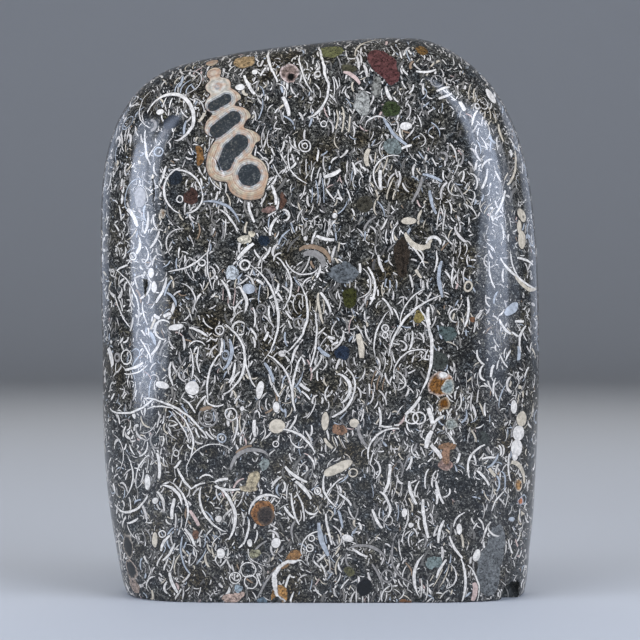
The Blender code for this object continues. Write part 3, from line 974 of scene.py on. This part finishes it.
def make_sand():
    tree, give = new_group(
        "lake_sand", (("Place", VECTOR, (0, 0, 0)), ("Shell", FLOAT, 1.0)),
        (("Color", COLOUR), ("Grain", FLOAT)),
    )
    grains = add_node(
        tree, CELLS, voronoi_dimensions="3D", named={"Vector": give["Place"], "Scale": 1 / GRAIN}
    )
    grain = add_node(tree, PARTS, grains.outputs["Color"]).outputs
    grey = add_node(tree, RAMP, grain["Red"])
    set_ramp(grey, SAND_GREYS, "LINEAR")
    fine = add_node(
        tree, NOISE,
        named={"Vector": give["Place"], "Scale": 1 / FINE_GRAIN, "Detail": 1.0, "Roughness": 0.6},
    ).outputs["Fac"]
    fine = add_node(tree, RANGE, fine, *FINE_LIGHT).outputs["Result"]
    near = add_node(tree, RANGE, give["Shell"], *NEAR_SHELL_LIGHT).outputs["Result"]
    light = add_node(tree, MATH, fine, near, operation="MULTIPLY").outputs[0]
    stain = add_node(
        tree, NOISE,
        named={"Vector": give["Place"], "Scale": 1 / STAIN, "Detail": 2.0, "Roughness": 0.55},
    ).outputs["Fac"]
    stain = add_node(tree, RAMP, stain)
    set_ramp(stain, STAINS, "LINEAR")
    tinted = add_node(
        tree, MIX, data_type="RGBA", blend_type="MULTIPLY",
        named={"Factor": 1.0, "A": grey.outputs["Color"], "B": stain.outputs["Color"]},
    ).outputs["Result"]
    lit = add_node(tree, VECTOR_MATH, tinted, named={"Scale": light}, operation="SCALE").outputs[0]
    add_node(tree, "NodeGroupOutput", lit, grain["Green"])
    return tree


lake_sand = make_sand()
print("lake_sand:", len(lake_sand.nodes), "nodes")

# %% [markdown]
# ## Edges that waver
#
# No shell and no pebble in the stone has a perfectly round edge. So before a distance is measured, the
# place is moved a little by a slow noise, more for the rough pebbles than for the shells. The edge itself
# fades over a few hundredths of a millimetre, as it does where clear silica lies over it.

# %% How far edges waver, and how they fade
WAVES_PER_MM = 0.35
SHELL_WAVER, PEBBLE_WAVER, SPIRE_WAVER = 0.7, 2.2, 0.3  # mm, from furthest in to furthest out
EDGE_SOFTNESS = 0.06  # mm
OUTSIDE, ACROSS, INSIDE = 1.0, 0.5, 0.0  # where the fading edge lies


def make_unevenness(tree, place):
    """A slow noise with three parts, each below zero as often as above."""
    uneven = add_node(
        tree, NOISE, named={"Vector": place, "Scale": WAVES_PER_MM, "Detail": 4.0, "Roughness": 0.55}
    ).outputs["Color"]
    return add_node(tree, VECTOR_MATH, uneven, (0.5, 0.5, 0.5), operation="SUBTRACT").outputs[0]


def move_by(tree, place, uneven, waver):
    """The place, moved by the unevenness."""
    return add_node(
        tree, VECTOR_MATH, uneven, (waver, waver, waver), place, operation="MULTIPLY_ADD"
    ).outputs[0]


def cover(tree, distance, side):
    """How much of a place a piece covers, from its distance: 1 well inside it, 0 well outside."""
    return add_node(
        tree, MATH, distance, -1 / EDGE_SOFTNESS, side, operation="MULTIPLY_ADD", use_clamp=True
    ).outputs[0]


def lay_over(tree, surface, layers):
    """Lays colours over a surface, one after another. Each layer is its share and its colour."""
    for share, over in layers:
        surface = add_node(
            tree, MIX, data_type="RGBA", named={"Factor": share, "A": surface, "B": over}
        ).outputs["Result"]
    return surface


print("edges stray by at most", SHELL_WAVER / 2, PEBBLE_WAVER / 2, SPIRE_WAVER / 2, "mm along each axis")

# %% [markdown]
# ## The Turritella
#
# One whole snail shell lies near the top, cut along its length: a tall spire whose whorls widen
# downwards, with dark chambers inside it. The whorls are ovoids that melt into one body, and each chamber
# is a round-ended hollow. What colours the shell is how far a place is from the nearest chamber: a grey
# line, then bluish white, then cream and tan towards the middle of the wall. A solid spiral cut by the
# face would be truer to the snail, but its cut would be hard to match to this one's.

# %% The spire's whorls and chambers, in pixels of the view
# middle, half width, half height, lean in degrees
WHORLS = (
    (212, 62.5, 6.2, 10, 0), (214, 73, 7.4, 10, 0), (218, 85.5, 13, 9, -14), (221, 101, 17.5, 10.5, -24),
    (226, 122, 23, 13.5, -26), (231.5, 149, 27.5, 17, -36), (221.5, 167, 15, 14.5, 0),
    (247.5, 176, 21, 21, 0), (247, 191, 17, 8.5, 12), (236, 95, 5, 2.2, 40), (246, 113.5, 5, 2.2, 40),
    (256, 137, 5, 3, 40),
)
MELT = 1.5  # mm, how softly one whorl runs into the next
# each chamber is a round-ended hollow: its start, its end and its radius
CHAMBERS = (
    (212.5, 106.5, 226.5, 98.5, 4.8), (216.5, 131, 234, 117.5, 6.9), (240, 142.5, 232, 150, 8.4),
    (229.5, 152, 225, 163.5, 7.3), (249.3, 175, 249.7, 175, 11.0),
)
# the narrowest whorls are filled: place, and how far their middle is from a chamber in colour, in mm
FILLED_WHORLS = ((218, 86, 0.1), (214, 73, 0.75))
FILLED_SPREAD = 0.35  # how much farther it is in colour for each mm outwards
# the pixels between which the spire lies: its sides, and its top, middle and foot
SPIRE_SIDES, SPIRE_HEIGHTS = (200, 275), (58, 130, 202)
SPIRE_PANELS = {panel_of(on_stone(across, down)) for across in SPIRE_SIDES for down in SPIRE_HEIGHTS}
print("the spire lies in panels", sorted(SPIRE_PANELS))


# %% The spire's shape
def draw_spire(tree, place):
    """The distances to the spire's body and to its nearest chamber."""
    body = None
    for across, down, wide, high, lean in WHORLS:
        whorl = draw_lump(tree, place, on_stone(across, down), wide * PIXEL, high * PIXEL, lean)
        if body is None:
            body = whorl
        else:
            body = add_node(tree, MATH, body, whorl, MELT, operation="SMOOTH_MIN").outputs[0]
    hollows = []
    for across, down, far_across, far_down, radius in CHAMBERS:
        start, end = on_stone(across, down), on_stone(far_across, far_down)
        run = end - start
        local = add_node(tree, VECTOR_MATH, place, start, operation="SUBTRACT").outputs[0]
        along = add_node(
            tree, VECTOR_MATH, local, run / run.length_squared, operation="DOT_PRODUCT"
        ).outputs["Value"]
        along = add_node(tree, MATH, along, 1.0, operation="MULTIPLY", use_clamp=True).outputs[0]
        foot = add_node(tree, VECTOR_MATH, run, named={"Scale": along}, operation="SCALE").outputs[0]
        away = add_node(tree, VECTOR_MATH, local, foot, operation="DISTANCE").outputs["Value"]
        hollows.append(add_node(tree, MATH, away, radius * PIXEL, operation="SUBTRACT").outputs[0])
    for across, down, apart in FILLED_WHORLS:
        middle = on_stone(across, down)
        away = add_node(tree, VECTOR_MATH, place, middle, operation="DISTANCE").outputs["Value"]
        away = add_node(tree, MATH, away, FILLED_SPREAD, apart, operation="MULTIPLY_ADD").outputs[0]
        hollows.append(away)
    return body, nearest(tree, hollows)


print("whorls and their points:", len(WHORLS), "chambers:", len(CHAMBERS))

# %% The spire's colours
WALL_COLOURS = (
    (0.0, "#62615E"), (0.04, "#94928C"), (0.08, "#BCB8AE"), (0.13, "#A09B92"), (0.20, "#C3BCAC"),
    (0.36, "#C6B9A2"), (0.50, "#B5977F"), (0.60, "#C6B498"), (0.84, "#BCAB8D"), (1.0, "#A8927A"),
)
WALL_SPAN = 2.2  # mm from a chamber, over which the colours change
LAYER_SHIFT = (0.14, -0.12)  # what the mottle is multiplied by, and then added to, to shift the colours
GROWTH_LINE = 0.42  # mm, the spacing of the growth lines in the wall
GROWTH_CONTRAST = 0.13  # how much lighter and darker the growth lines are
BLUSH, BLUSHES_PER_MM = "#B08462", 0.8  # a warmer tan that stains the wall in places
BLUSH_SHARE = (0.47, 0.62, 0.0, 0.5)  # the noise, to how much of the blush there is
HALO = "#2A2624"  # a thin dark line round the shell
HALO_FADE = (-8.0, 1.2)  # how the halo falls off with the distance in mm, and how strongly it starts
CHAMBER_FILL, CHAMBER_FILL_SHARE = "#35393A", 0.62


def paint_spire(tree, surface, place, mottle, body, chamber):
    """Lays the spire's wall and its sand-filled chambers over the surface so far."""
    depth = add_node(tree, MATH, chamber, 1 / WALL_SPAN, operation="MULTIPLY").outputs[0]
    layers = add_node(tree, MATH, mottle, *LAYER_SHIFT, operation="MULTIPLY_ADD").outputs[0]
    depth = add_node(tree, MATH, depth, layers, operation="ADD", use_clamp=True).outputs[0]
    wall = add_node(tree, RAMP, depth)
    set_ramp(wall, WALL_COLOURS, "LINEAR")
    growth = add_node(tree, MATH, chamber, math.tau / GROWTH_LINE, operation="MULTIPLY").outputs[0]
    growth = add_node(tree, MATH, growth, operation="SINE").outputs[0]
    growth = add_node(tree, MATH, growth, GROWTH_CONTRAST, mottle, operation="MULTIPLY_ADD").outputs[0]
    wall = add_node(
        tree, VECTOR_MATH, wall.outputs["Color"], named={"Scale": growth}, operation="SCALE"
    ).outputs[0]
    blush = add_node(
        tree, NOISE, named={"Vector": place, "Scale": BLUSHES_PER_MM, "Detail": 3.0, "Roughness": 0.6}
    ).outputs["Fac"]
    blush = add_node(tree, RANGE, blush, *BLUSH_SHARE).outputs["Result"]
    wall = lay_over(tree, wall, [(blush, colour(BLUSH))])
    fill = add_node(
        tree, GROUP, node_tree=lake_sand, named={"Place": place, "Shell": FAR}
    ).outputs["Color"]
    fill = lay_over(tree, fill, [(CHAMBER_FILL_SHARE, colour(CHAMBER_FILL))])
    halo = add_node(tree, MATH, body, *HALO_FADE, operation="MULTIPLY_ADD", use_clamp=True).outputs[0]
    layers = [
        (halo, colour(HALO)), (cover(tree, body, INSIDE), wall), (cover(tree, chamber, ACROSS), fill)
    ]
    return lay_over(tree, surface, layers)


print("the spire's wall has", len(WALL_COLOURS), "colours over", WALL_SPAN, "mm")

# %% [markdown]
# ## Pebbles
#
# Rounded bits of other stone lie among the shells: olive, maroon, tan, grey and nearly black. Some shells
# hold silica of another colour inside a pale rim. Each is an ovoid with a wavering edge, marbled by a
# noise. A cell pattern would be simpler, but its cells have straight sides, and these have none.

# %% A pebble's colour
RIM = 0.5  # mm, how wide the rim of a filled shell is
MARBLING_PER_MM = 1.3
MARBLING = (0.4, 0.6, 0.04, 0.74)  # the noise, to how light the pebble is
GRAIN_IN_PEBBLE = 0.48  # how much lighter the sand's own grains make it


def make_marbling(tree, place, grain):
    """How light a pebble is at a place, from a noise and from the sand's grains."""
    marbling = add_node(
        tree, NOISE,
        named={
            "Vector": place, "Scale": MARBLING_PER_MM, "Detail": 5.0, "Roughness": 0.8, "Distortion": 0.5
        },
    ).outputs["Fac"]
    marbling = add_node(tree, RANGE, marbling, *MARBLING).outputs["Result"]
    return add_node(tree, MATH, grain, GRAIN_IN_PEBBLE, marbling, operation="MULTIPLY_ADD").outputs[0]


def paint_pebble(tree, distance, colours):
    """A pebble's colour: plain, taken from a chance, or changing from the rim inwards."""
    if isinstance(colours, bpy.types.NodeSocket):
        return colours
    if len(colours) == 1:
        return colour(colours[0])[:3]
    inside, rim = (colour(hex_code) for hex_code in colours)
    inwards = add_node(tree, MATH, distance, -1 / RIM, operation="MULTIPLY", use_clamp=True).outputs[0]
    return lay_over(tree, rim, [(inwards, inside)])


print("a pebble is", MARBLING[2], "to", MARBLING[3] + GRAIN_IN_PEBBLE, "times as light as its colour")

# %% [markdown]
# ## What is drawn, and what is sown
#
# The front's panels hold the shells, pebbles and quiet places that were set one by one above. The sides,
# the top and the back have no such places, so large shells and pebbles are sown there instead, at about
# the front's density. They keep behind the middle of the block's thickness, so the two never mix.

# %% What is drawn in a panel of the front
PEBBLE_GAP = 0.05  # mm, left between a pebble and the shells


def draw_panel(tree, place, uneven, panel):
    """What is drawn in a panel: the space it takes, its tone, and the pebbles with their colours."""
    shells_at = move_by(tree, place, uneven, SHELL_WAVER)
    pebbles_at = move_by(tree, place, uneven, PEBBLE_WAVER)
    by_tone = {}
    for tone, middle, reach, draw, sizes in drawn_shells:
        if reaches_panel(middle, reach, panel):
            by_tone.setdefault(tone, []).append(draw(tree, shells_at, middle, *sizes))
    taken, tone = FAR, WHITE
    for shell_tone, distances in by_tone.items():
        found = nearest(tree, distances)
        nearer = add_node(tree, MATH, found, taken, operation="LESS_THAN").outputs[0]
        tone = add_node(tree, MIX, named={"Factor": nearer, "A": tone, "B": shell_tone}).outputs["Result"]
        taken = add_node(tree, MATH, found, taken, operation="MINIMUM").outputs[0]
    room = add_node(tree, MATH, PEBBLE_GAP, taken, operation="SUBTRACT").outputs[0]
    pebbles = []
    for middle, wide, high, lean, colours in drawn_pebbles:
        if reaches_panel(middle, max(wide, high), panel):
            pebble = draw_lump(tree, pebbles_at, middle, wide, high, lean)
            pebble = add_node(tree, MATH, pebble, room, operation="MAXIMUM").outputs[0]
            pebbles.append((pebble, colours))
    quiet = []
    for middle, radius in drawn_quiet_places:
        if reaches_panel(middle, radius, panel):
            away = add_node(tree, VECTOR_MATH, pebbles_at, middle, operation="DISTANCE").outputs["Value"]
            away = add_node(tree, MATH, away, radius, operation="SUBTRACT").outputs[0]
            quiet.append(add_node(tree, MATH, away, QUIET_SPACE, operation="MAXIMUM").outputs[0])
    taken = nearest(tree, [taken, *(pebble for pebble, colours in pebbles), *quiet])
    return taken, tone, pebbles


panels = [(column, row) for row in range(PANEL_ROWS) for column in range(PANEL_COLUMNS)]
counts = [sum(reaches_panel(shell[1], shell[2], panel) for shell in drawn_shells) for panel in panels]
print("drawn shells in a panel:", min(counts), "to", max(counts))

# %% What is sown behind the front
# each cell holds one pebble at most: the cells' size, the largest radius, and by how much the radius may
# fall short of it (below zero there is no pebble); in mm
PEBBLE_CELL, PEBBLE_LARGEST, PEBBLE_SPREAD = 5.5, 2.4, 3.6
EARTHS = (
    (0.0, "#9C8664"), (0.1, "#64666A"), (0.3, "#5E3834"), (0.4, "#3C4428"), (0.52, "#9A7448"),
    (0.60, "#A8A498"), (0.76, "#23272E"), (0.88, "#A48E7C"),
)


def sow_large_pieces(tree, place, uneven):
    """What is sown: the space it takes, its tone, and the pebbles with their colours."""
    before_middle = add_node(tree, "ShaderNodeSeparateXYZ", place).outputs["Y"]
    before_middle = add_node(tree, MATH, before_middle, -1.0, operation="MULTIPLY").outputs[0]
    shells = add_node(tree, GROUP, node_tree=large_shell_hash, named={"Place": place}).outputs
    taken = add_node(tree, MATH, shells["Taken"], before_middle, operation="MAXIMUM").outputs[0]
    pebbles_at = move_by(tree, place, uneven, PEBBLE_WAVER)
    cell = add_node(
        tree, CELLS, voronoi_dimensions="3D", feature="F1",
        named={"Vector": pebbles_at, "Scale": 1 / PEBBLE_CELL},
    )
    chance = add_node(tree, PARTS, cell.outputs["Color"]).outputs
    pebble = add_node(tree, MATH, cell.outputs["Distance"], PEBBLE_CELL, operation="MULTIPLY").outputs[0]
    radius = add_node(
        tree, MATH, chance["Green"], PEBBLE_SPREAD, PEBBLE_LARGEST - PEBBLE_SPREAD, operation="MULTIPLY_ADD"
    ).outputs[0]
    pebble = add_node(tree, MATH, pebble, radius, operation="SUBTRACT").outputs[0]
    pebble = add_node(tree, MATH, pebble, before_middle, operation="MAXIMUM").outputs[0]
    room = add_node(tree, MATH, PEBBLE_GAP, taken, operation="SUBTRACT").outputs[0]
    pebble = add_node(tree, MATH, pebble, room, operation="MAXIMUM").outputs[0]
    earth = add_node(tree, RAMP, chance["Red"])
    set_ramp(earth, EARTHS, "CONSTANT")
    taken = add_node(tree, MATH, taken, pebble, operation="MINIMUM").outputs[0]
    return taken, shells["Tone"], [(pebble, earth.outputs["Color"])]


print("share of the cells that hold a pebble:", round(PEBBLE_LARGEST / PEBBLE_SPREAD, 2))

# %% [markdown]
# ## The polished stone
#
# Polished chalcedony: silica, with a refractive index of 1.54, ground and then buffed until it shines
# like glass. A trace of roughness stays, which softens what the polish mirrors a little. A clear coat
# over a rough stone would shine too, but there is no such coat here: the colour and the shine belong to
# the same surface.

# %% The stone's material
# where each tone of shell starts on the ramp; WHITE, BLUISH, CREAM, GREY, TAN and PINK are places on it
TONES = (
    (0.0, "#5F5A54"), (0.15, "#898277"), (0.26, "#D7CDBF"), (0.45, "#EAE0D1"), (0.6, "#6F6A62"),
    (0.68, "#DED4C5"), (0.8, "#B0B2B2"), (0.85, "#D2C3AA"), (0.89, "#979087"), (0.93, "#D4CABD"),
    (0.97, "#987F66"), (0.98, "#D4CABD"), (0.99, "#D0B4A6"),
)
MOTTLES_PER_MM = 1.3
MOTTLE = (0.38, 0.62, 0.58, 0.92)  # the noise, to how light the shell is
CHALCEDONY_IOR = 1.54
POLISH_ROUGHNESS = 0.16


def make_polished_stone(name, panel=None):
    """The polished stone, with what is drawn in a panel of the front, or with what is sown elsewhere."""
    material = bpy.data.materials.new(name)
    material.use_nodes = True
    tree = material.node_tree
    tree.nodes.clear()
    place = add_node(tree, "ShaderNodeTexCoord").outputs["Object"]
    place = add_node(tree, VECTOR_MATH, place, named={"Scale": 1 / MM}, operation="SCALE").outputs[0]
    uneven = make_unevenness(tree, place)
    if panel is None:
        taken, tone, pebbles = sow_large_pieces(tree, place, uneven)
    else:
        taken, tone, pebbles = draw_panel(tree, place, uneven, panel)
    spire = None
    if panel in SPIRE_PANELS:
        spire = draw_spire(tree, move_by(tree, place, uneven, SPIRE_WAVER))
        taken = add_node(tree, MATH, taken, spire[0], operation="MINIMUM").outputs[0]
    bits = add_node(
        tree, GROUP, node_tree=shell_hash, named={"Place": place, "Taken": taken, "Tone": tone}
    ).outputs
    shade = add_node(tree, RAMP, bits["Tone"])
    set_ramp(shade, TONES, "CONSTANT")
    sand = add_node(
        tree, GROUP, node_tree=lake_sand, named={"Place": place, "Shell": bits["Taken"]}
    ).outputs
    mottle = add_node(
        tree, NOISE, named={"Vector": place, "Scale": MOTTLES_PER_MM, "Detail": 3.0, "Roughness": 0.65}
    ).outputs["Fac"]
    mottle = add_node(tree, RANGE, mottle, *MOTTLE).outputs["Result"]
    shell = add_node(
        tree, VECTOR_MATH, shade.outputs["Color"], named={"Scale": mottle}, operation="SCALE"
    ).outputs[0]
    layers = [(cover(tree, bits["Taken"], ACROSS), shell)]
    marbling = make_marbling(tree, place, sand["Grain"])
    for distance, colours in pebbles:
        body = paint_pebble(tree, distance, colours)
        body = add_node(tree, VECTOR_MATH, body, named={"Scale": marbling}, operation="SCALE").outputs[0]
        layers.append((cover(tree, distance, OUTSIDE), body))
    surface = lay_over(tree, sand["Color"], layers)
    if spire:
        surface = paint_spire(tree, surface, place, mottle, *spire)
    finish = add_node(
        tree, "ShaderNodeBsdfPrincipled",
        named={"Base Color": surface, "Roughness": POLISH_ROUGHNESS, "IOR": CHALCEDONY_IOR},
    )
    add_node(tree, "ShaderNodeOutputMaterial", finish.outputs[0])
    return material


print("tones of shell:", len(TONES))

# %% [markdown]
# ## Broken and sawn stone
#
# A chip shows the stone unpolished: dark and gritty, with the same shells in it. The sawn base is ground
# flat but not buffed, so it is matt too, and paler. Both could be plain grey, but the shells run on
# through a break, so they start from the polished stone and lay a veil of another colour over it.

# %% All the stone's materials, and who wears them
# name, share of the veil, its colour, roughness
ROUGH_FINISHES = (
    ("broken_chalcedony", 0.5, "#3E403C", 0.75),
    ("sawn_chalcedony", 0.25, "#A09D98", 0.6),
)
FRONT_BEFORE = -2 * MM  # faces nearer the viewer than this belong to the front


def make_rough_stone(name, share, hex_code, roughness):
    """The same stone unpolished, with a share of another colour over it."""
    material = make_polished_stone(name)
    tree = material.node_tree
    finish = next(node for node in tree.nodes if node.type == "BSDF_PRINCIPLED")
    under = finish.inputs["Base Color"].links[0].from_socket
    tree.links.new(lay_over(tree, under, [(share, colour(hex_code))]), finish.inputs["Base Color"])
    finish.inputs["Roughness"].default_value = roughness
    return material


def dress_stone(block):
    """Gives the block its materials, and the front's faces that of the panel they lie in."""
    finishes = [face.material_index for face in block.polygons]
    block.materials.clear()
    block.materials.append(make_polished_stone("polished_chalcedony"))
    for finish in ROUGH_FINISHES:
        block.materials.append(make_rough_stone(*finish))
    for column, row in panels:
        name = f"polished_chalcedony_{row}_{column}"
        block.materials.append(make_polished_stone(name, (column, row)))
    for face, finish in zip(block.polygons, finishes):
        if finish == SLOT_POLISHED and face.center.y < FRONT_BEFORE:
            finish = SLOT_FRONT + panels.index(panel_of(face.center / MM))
        face.material_index = finish


dress_stone(stone.data)
nodes = [len(slot.material.node_tree.nodes) for slot in stone.material_slots]
print("materials:", len(nodes), "with", min(nodes), "to", max(nodes), "nodes each")

# %% [markdown]
# ## A flat map of the surface
#
# Programs without these materials need the stone's colours on a flat map. So the surface is flattened:
# the front is one island and the back another, each unrolled outwards from its middle by the length of
# the way along the surface, so that the roundings get as much room as the faces. The sawn base is a
# strip above them. A plain projection from the front would squeeze the roundings into a narrow rim.

# %% Front and back unrolled
BEARINGS = 1440  # directions round the outline for which its distance is kept
STEPS_PER_BEARING = 4  # so that every bearing is met at least once
AT_THE_MIDDLE = 1e-9


def bearing_of(across, up):
    """The number of the direction in which a place lies, seen from the middle of its side."""
    return int(math.atan2(up, across) / math.tau % 1.0 * BEARINGS) % BEARINGS


rims = [None] * BEARINGS
for step in range(STEPS_PER_BEARING * BEARINGS):
    rim = outline_point(step / (STEPS_PER_BEARING * BEARINGS))
    rims[bearing_of(rim.x, rim.z - MIDDLE.z)] = ((rim - MIDDLE).length, round_width(rim))


def unroll(place):
    """Where a place lies when its side of the block is unrolled from the middle, in metres."""
    across, up = place.x, place.z - MIDDLE.z
    away = math.hypot(across, up)
    if away < AT_THE_MIDDLE:
        return 0.0, 0.0
    reach, width = rims[bearing_of(across, up)]
    inset = max(reach - away, 0.0)
    far = away
    if inset < width:
        depth = (THICKNESS / 2 - CROWN) * thickness_share(max(place.z, 0.0))
        quarter = math.pi / 4 * (width + depth)
        far = reach - width + quarter * (1 - math.acos(1 - inset / width) / (math.pi / 2))
    return across / away * far, up / away * far


print("the top of the front, unrolled:", round(unroll(Vector((0, 0, HEIGHT)))[1] / MM, 1), "mm up")

# %% The flat map: the two islands, and the base above them
ISLANDS_TOP = 0.93  # the share of the map's height that the two islands take
EDGE_GAP = 0.004  # left free round each island


def lay_out(block):
    """Gives the block its flat map."""
    unrolled = [unroll(vert.co) for vert in block.vertices]
    left, right = min(across for across, up in unrolled), max(across for across, up in unrolled)
    low, high = min(up for across, up in unrolled), max(up for across, up in unrolled)
    room_across, room_up = 0.5 - 2 * EDGE_GAP, ISLANDS_TOP - 2 * EDGE_GAP
    layer = block.uv_layers.new(name="OFBake")
    for face in block.polygons:
        for loop in face.loop_indices:
            vert = block.loops[loop].vertex_index
            across, up = unrolled[vert]
            u = EDGE_GAP + (across - left) / (right - left) * room_across
            v = EDGE_GAP + (up - low) / (high - low) * room_up
            if face.material_index == SLOT_SAWN:
                co = block.vertices[vert].co
                u = 0.5 + co.x / WIDTH * (1 - 4 * EDGE_GAP)
                v = (1 + ISLANDS_TOP) / 2 + co.y / THICKNESS * (1 - ISLANDS_TOP - 4 * EDGE_GAP)
            elif face.center.y > 0:
                u = 1 - u
            layer.uv[loop].vector = (u, v)
    print("flat map: islands", round((right - left) / MM), "x", round((high - low) / MM), "mm")


lay_out(stone.data)

# %% [markdown]
# ## The studio
#
# A plain pale floor that sweeps up into a wall, so no corner shows behind the stone. The polish mirrors
# what stands round it, so the light comes from soft boxes that stand where they make an upright band on
# each rounded side. Each is given by its bearing and by how bright its face is, because that brightness
# is what the polish shows, whatever the box's size. Point lamps would only make small hard sparks.

# %% Floor and wall
FLOOR_REACH = 1.1  # metres, like the other sizes here
SWEEP = 0.35
WALL_HEIGHT = 1.5
SWEEP_STEPS, TURN_STEPS = 12, 72
SEAM_TOLERANCE = 1e-5


def plain_paint(name, hex_code, roughness):
    material = bpy.data.materials.new(name)
    material.use_nodes = True
    shader = material.node_tree.nodes["Principled BSDF"]
    shader.inputs["Base Color"].default_value = colour(hex_code)
    shader.inputs["Roughness"].default_value = roughness
    return material


def make_sweep():
    """A round floor that curves up into a wall."""
    sweep_bm = bmesh.new()
    profile = [sweep_bm.verts.new((0, 0, 0))]
    for step in range(SWEEP_STEPS + 1):
        swing = step / SWEEP_STEPS * math.pi / 2
        out = FLOOR_REACH + SWEEP * math.sin(swing)
        profile.append(sweep_bm.verts.new((out, 0, SWEEP * (1 - math.cos(swing)))))
    profile.append(sweep_bm.verts.new((FLOOR_REACH + SWEEP, 0, WALL_HEIGHT)))
    edges = [sweep_bm.edges.new(pair) for pair in zip(profile, profile[1:])]
    bmesh.ops.spin(
        sweep_bm, geom=profile + edges, cent=(0, 0, 0), axis=(0, 0, 1), angle=math.tau,
        steps=TURN_STEPS, use_merge=True,
    )
    bmesh.ops.remove_doubles(sweep_bm, verts=sweep_bm.verts[:], dist=SEAM_TOLERANCE)
    for face in sweep_bm.faces:
        face.smooth = True
    sweep_mesh = bpy.data.meshes.new("studio_sweep")
    sweep_bm.to_mesh(sweep_mesh)
    sweep_bm.free()
    sweep_mesh.materials.append(plain_paint("pale_studio_paint", "#B9BABB", 0.7))
    sweep = bpy.data.objects.new("studio_sweep", sweep_mesh)
    bpy.context.scene.collection.objects.link(sweep)
    print("studio_sweep:", len(sweep_mesh.polygons), "faces")
    return sweep


make_sweep()

# %% Soft boxes and the room's own light
# name: bearing from the camera's side, half width (both in degrees), lowest and highest edge, radiance
SOFT_BOXES = (
    ("left_box", -58, 15, 0.04, 0.34, 9.0),
    ("left_wing", -36, 7, 0.05, 0.34, 4.6),
    ("left_crown", -26, 8, 0.16, 0.42, 4.6),
    ("left_shoulder", -64, 20, 0.35, 0.50, 3.6),
    ("right_box", 59, 15, 0.07, 0.50, 7.6),
    ("right_wing", 38, 6, 0.085, 0.50, 3.2),
    ("right_crown", 30, 7, 0.20, 0.60, 5.0),
    ("right_edge_box", 84, 9, 0.07, 0.40, 1.5),
    ("back_left_box", -135, 14, 0.04, 0.34, 0.8),
    ("back_right_box", 135, 14, 0.04, 0.34, 0.8),
)
BOX_DISTANCE = 0.6
BOX_TINT = "#D8E5FF"
# two more light the stone, but the polish doesn't show them: name, place, radiance
HIDDEN_BOXES = (("top_box", (0, -0.25, 0.95), 2.7), ("back_box", (0, 0.65, 0.6), 1.8))
HIDDEN_BOX_SIZE, HIDDEN_BOX_AIM = (0.7, 0.5), (0, 0, 0.06)


def soft_box(name, place, aim, size, radiance, tint="#FFFFFF"):
    """A soft box lamp, given by how bright its face is."""
    light = bpy.data.lights.new(name, "AREA")
    light.shape = "RECTANGLE"
    light.size, light.size_y = size
    light.energy = radiance * math.pi * size[0] * size[1]
    light.color = colour(tint)[:3]
    lamp = bpy.data.objects.new(name, light)
    lamp.location = place
    lamp.rotation_euler = (Vector(aim) - Vector(place)).to_track_quat("-Z", "Y").to_euler()
    lamp.visible_camera = False
    bpy.context.scene.collection.objects.link(lamp)
    return lamp


for name, bearing, half, low, high, radiance in SOFT_BOXES:
    bearing, half = math.radians(bearing), math.radians(half)
    middle = (low + high) / 2
    place = (BOX_DISTANCE * math.sin(bearing), -BOX_DISTANCE * math.cos(bearing), middle)
    size = (2 * BOX_DISTANCE * math.tan(half), high - low)
    soft_box(name, place, (0, 0, middle), size, radiance, BOX_TINT)
for name, place, radiance in HIDDEN_BOXES:
    soft_box(name, place, HIDDEN_BOX_AIM, HIDDEN_BOX_SIZE, radiance).visible_glossy = False

world = bpy.data.worlds.new("studio")
bpy.context.scene.world = world
world.use_nodes = True
world.node_tree.nodes["Background"].inputs["Color"].default_value = colour("#DADADA")
world.node_tree.nodes["Background"].inputs["Strength"].default_value = 0.20
bpy.context.scene.view_settings.view_transform = "Standard"
print("soft boxes:", len(SOFT_BOXES), "and", len(HIDDEN_BOXES), "that the polish doesn't show")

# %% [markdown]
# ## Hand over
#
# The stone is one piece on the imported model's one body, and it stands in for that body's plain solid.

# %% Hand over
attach(stone, "root")
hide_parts(NODE)
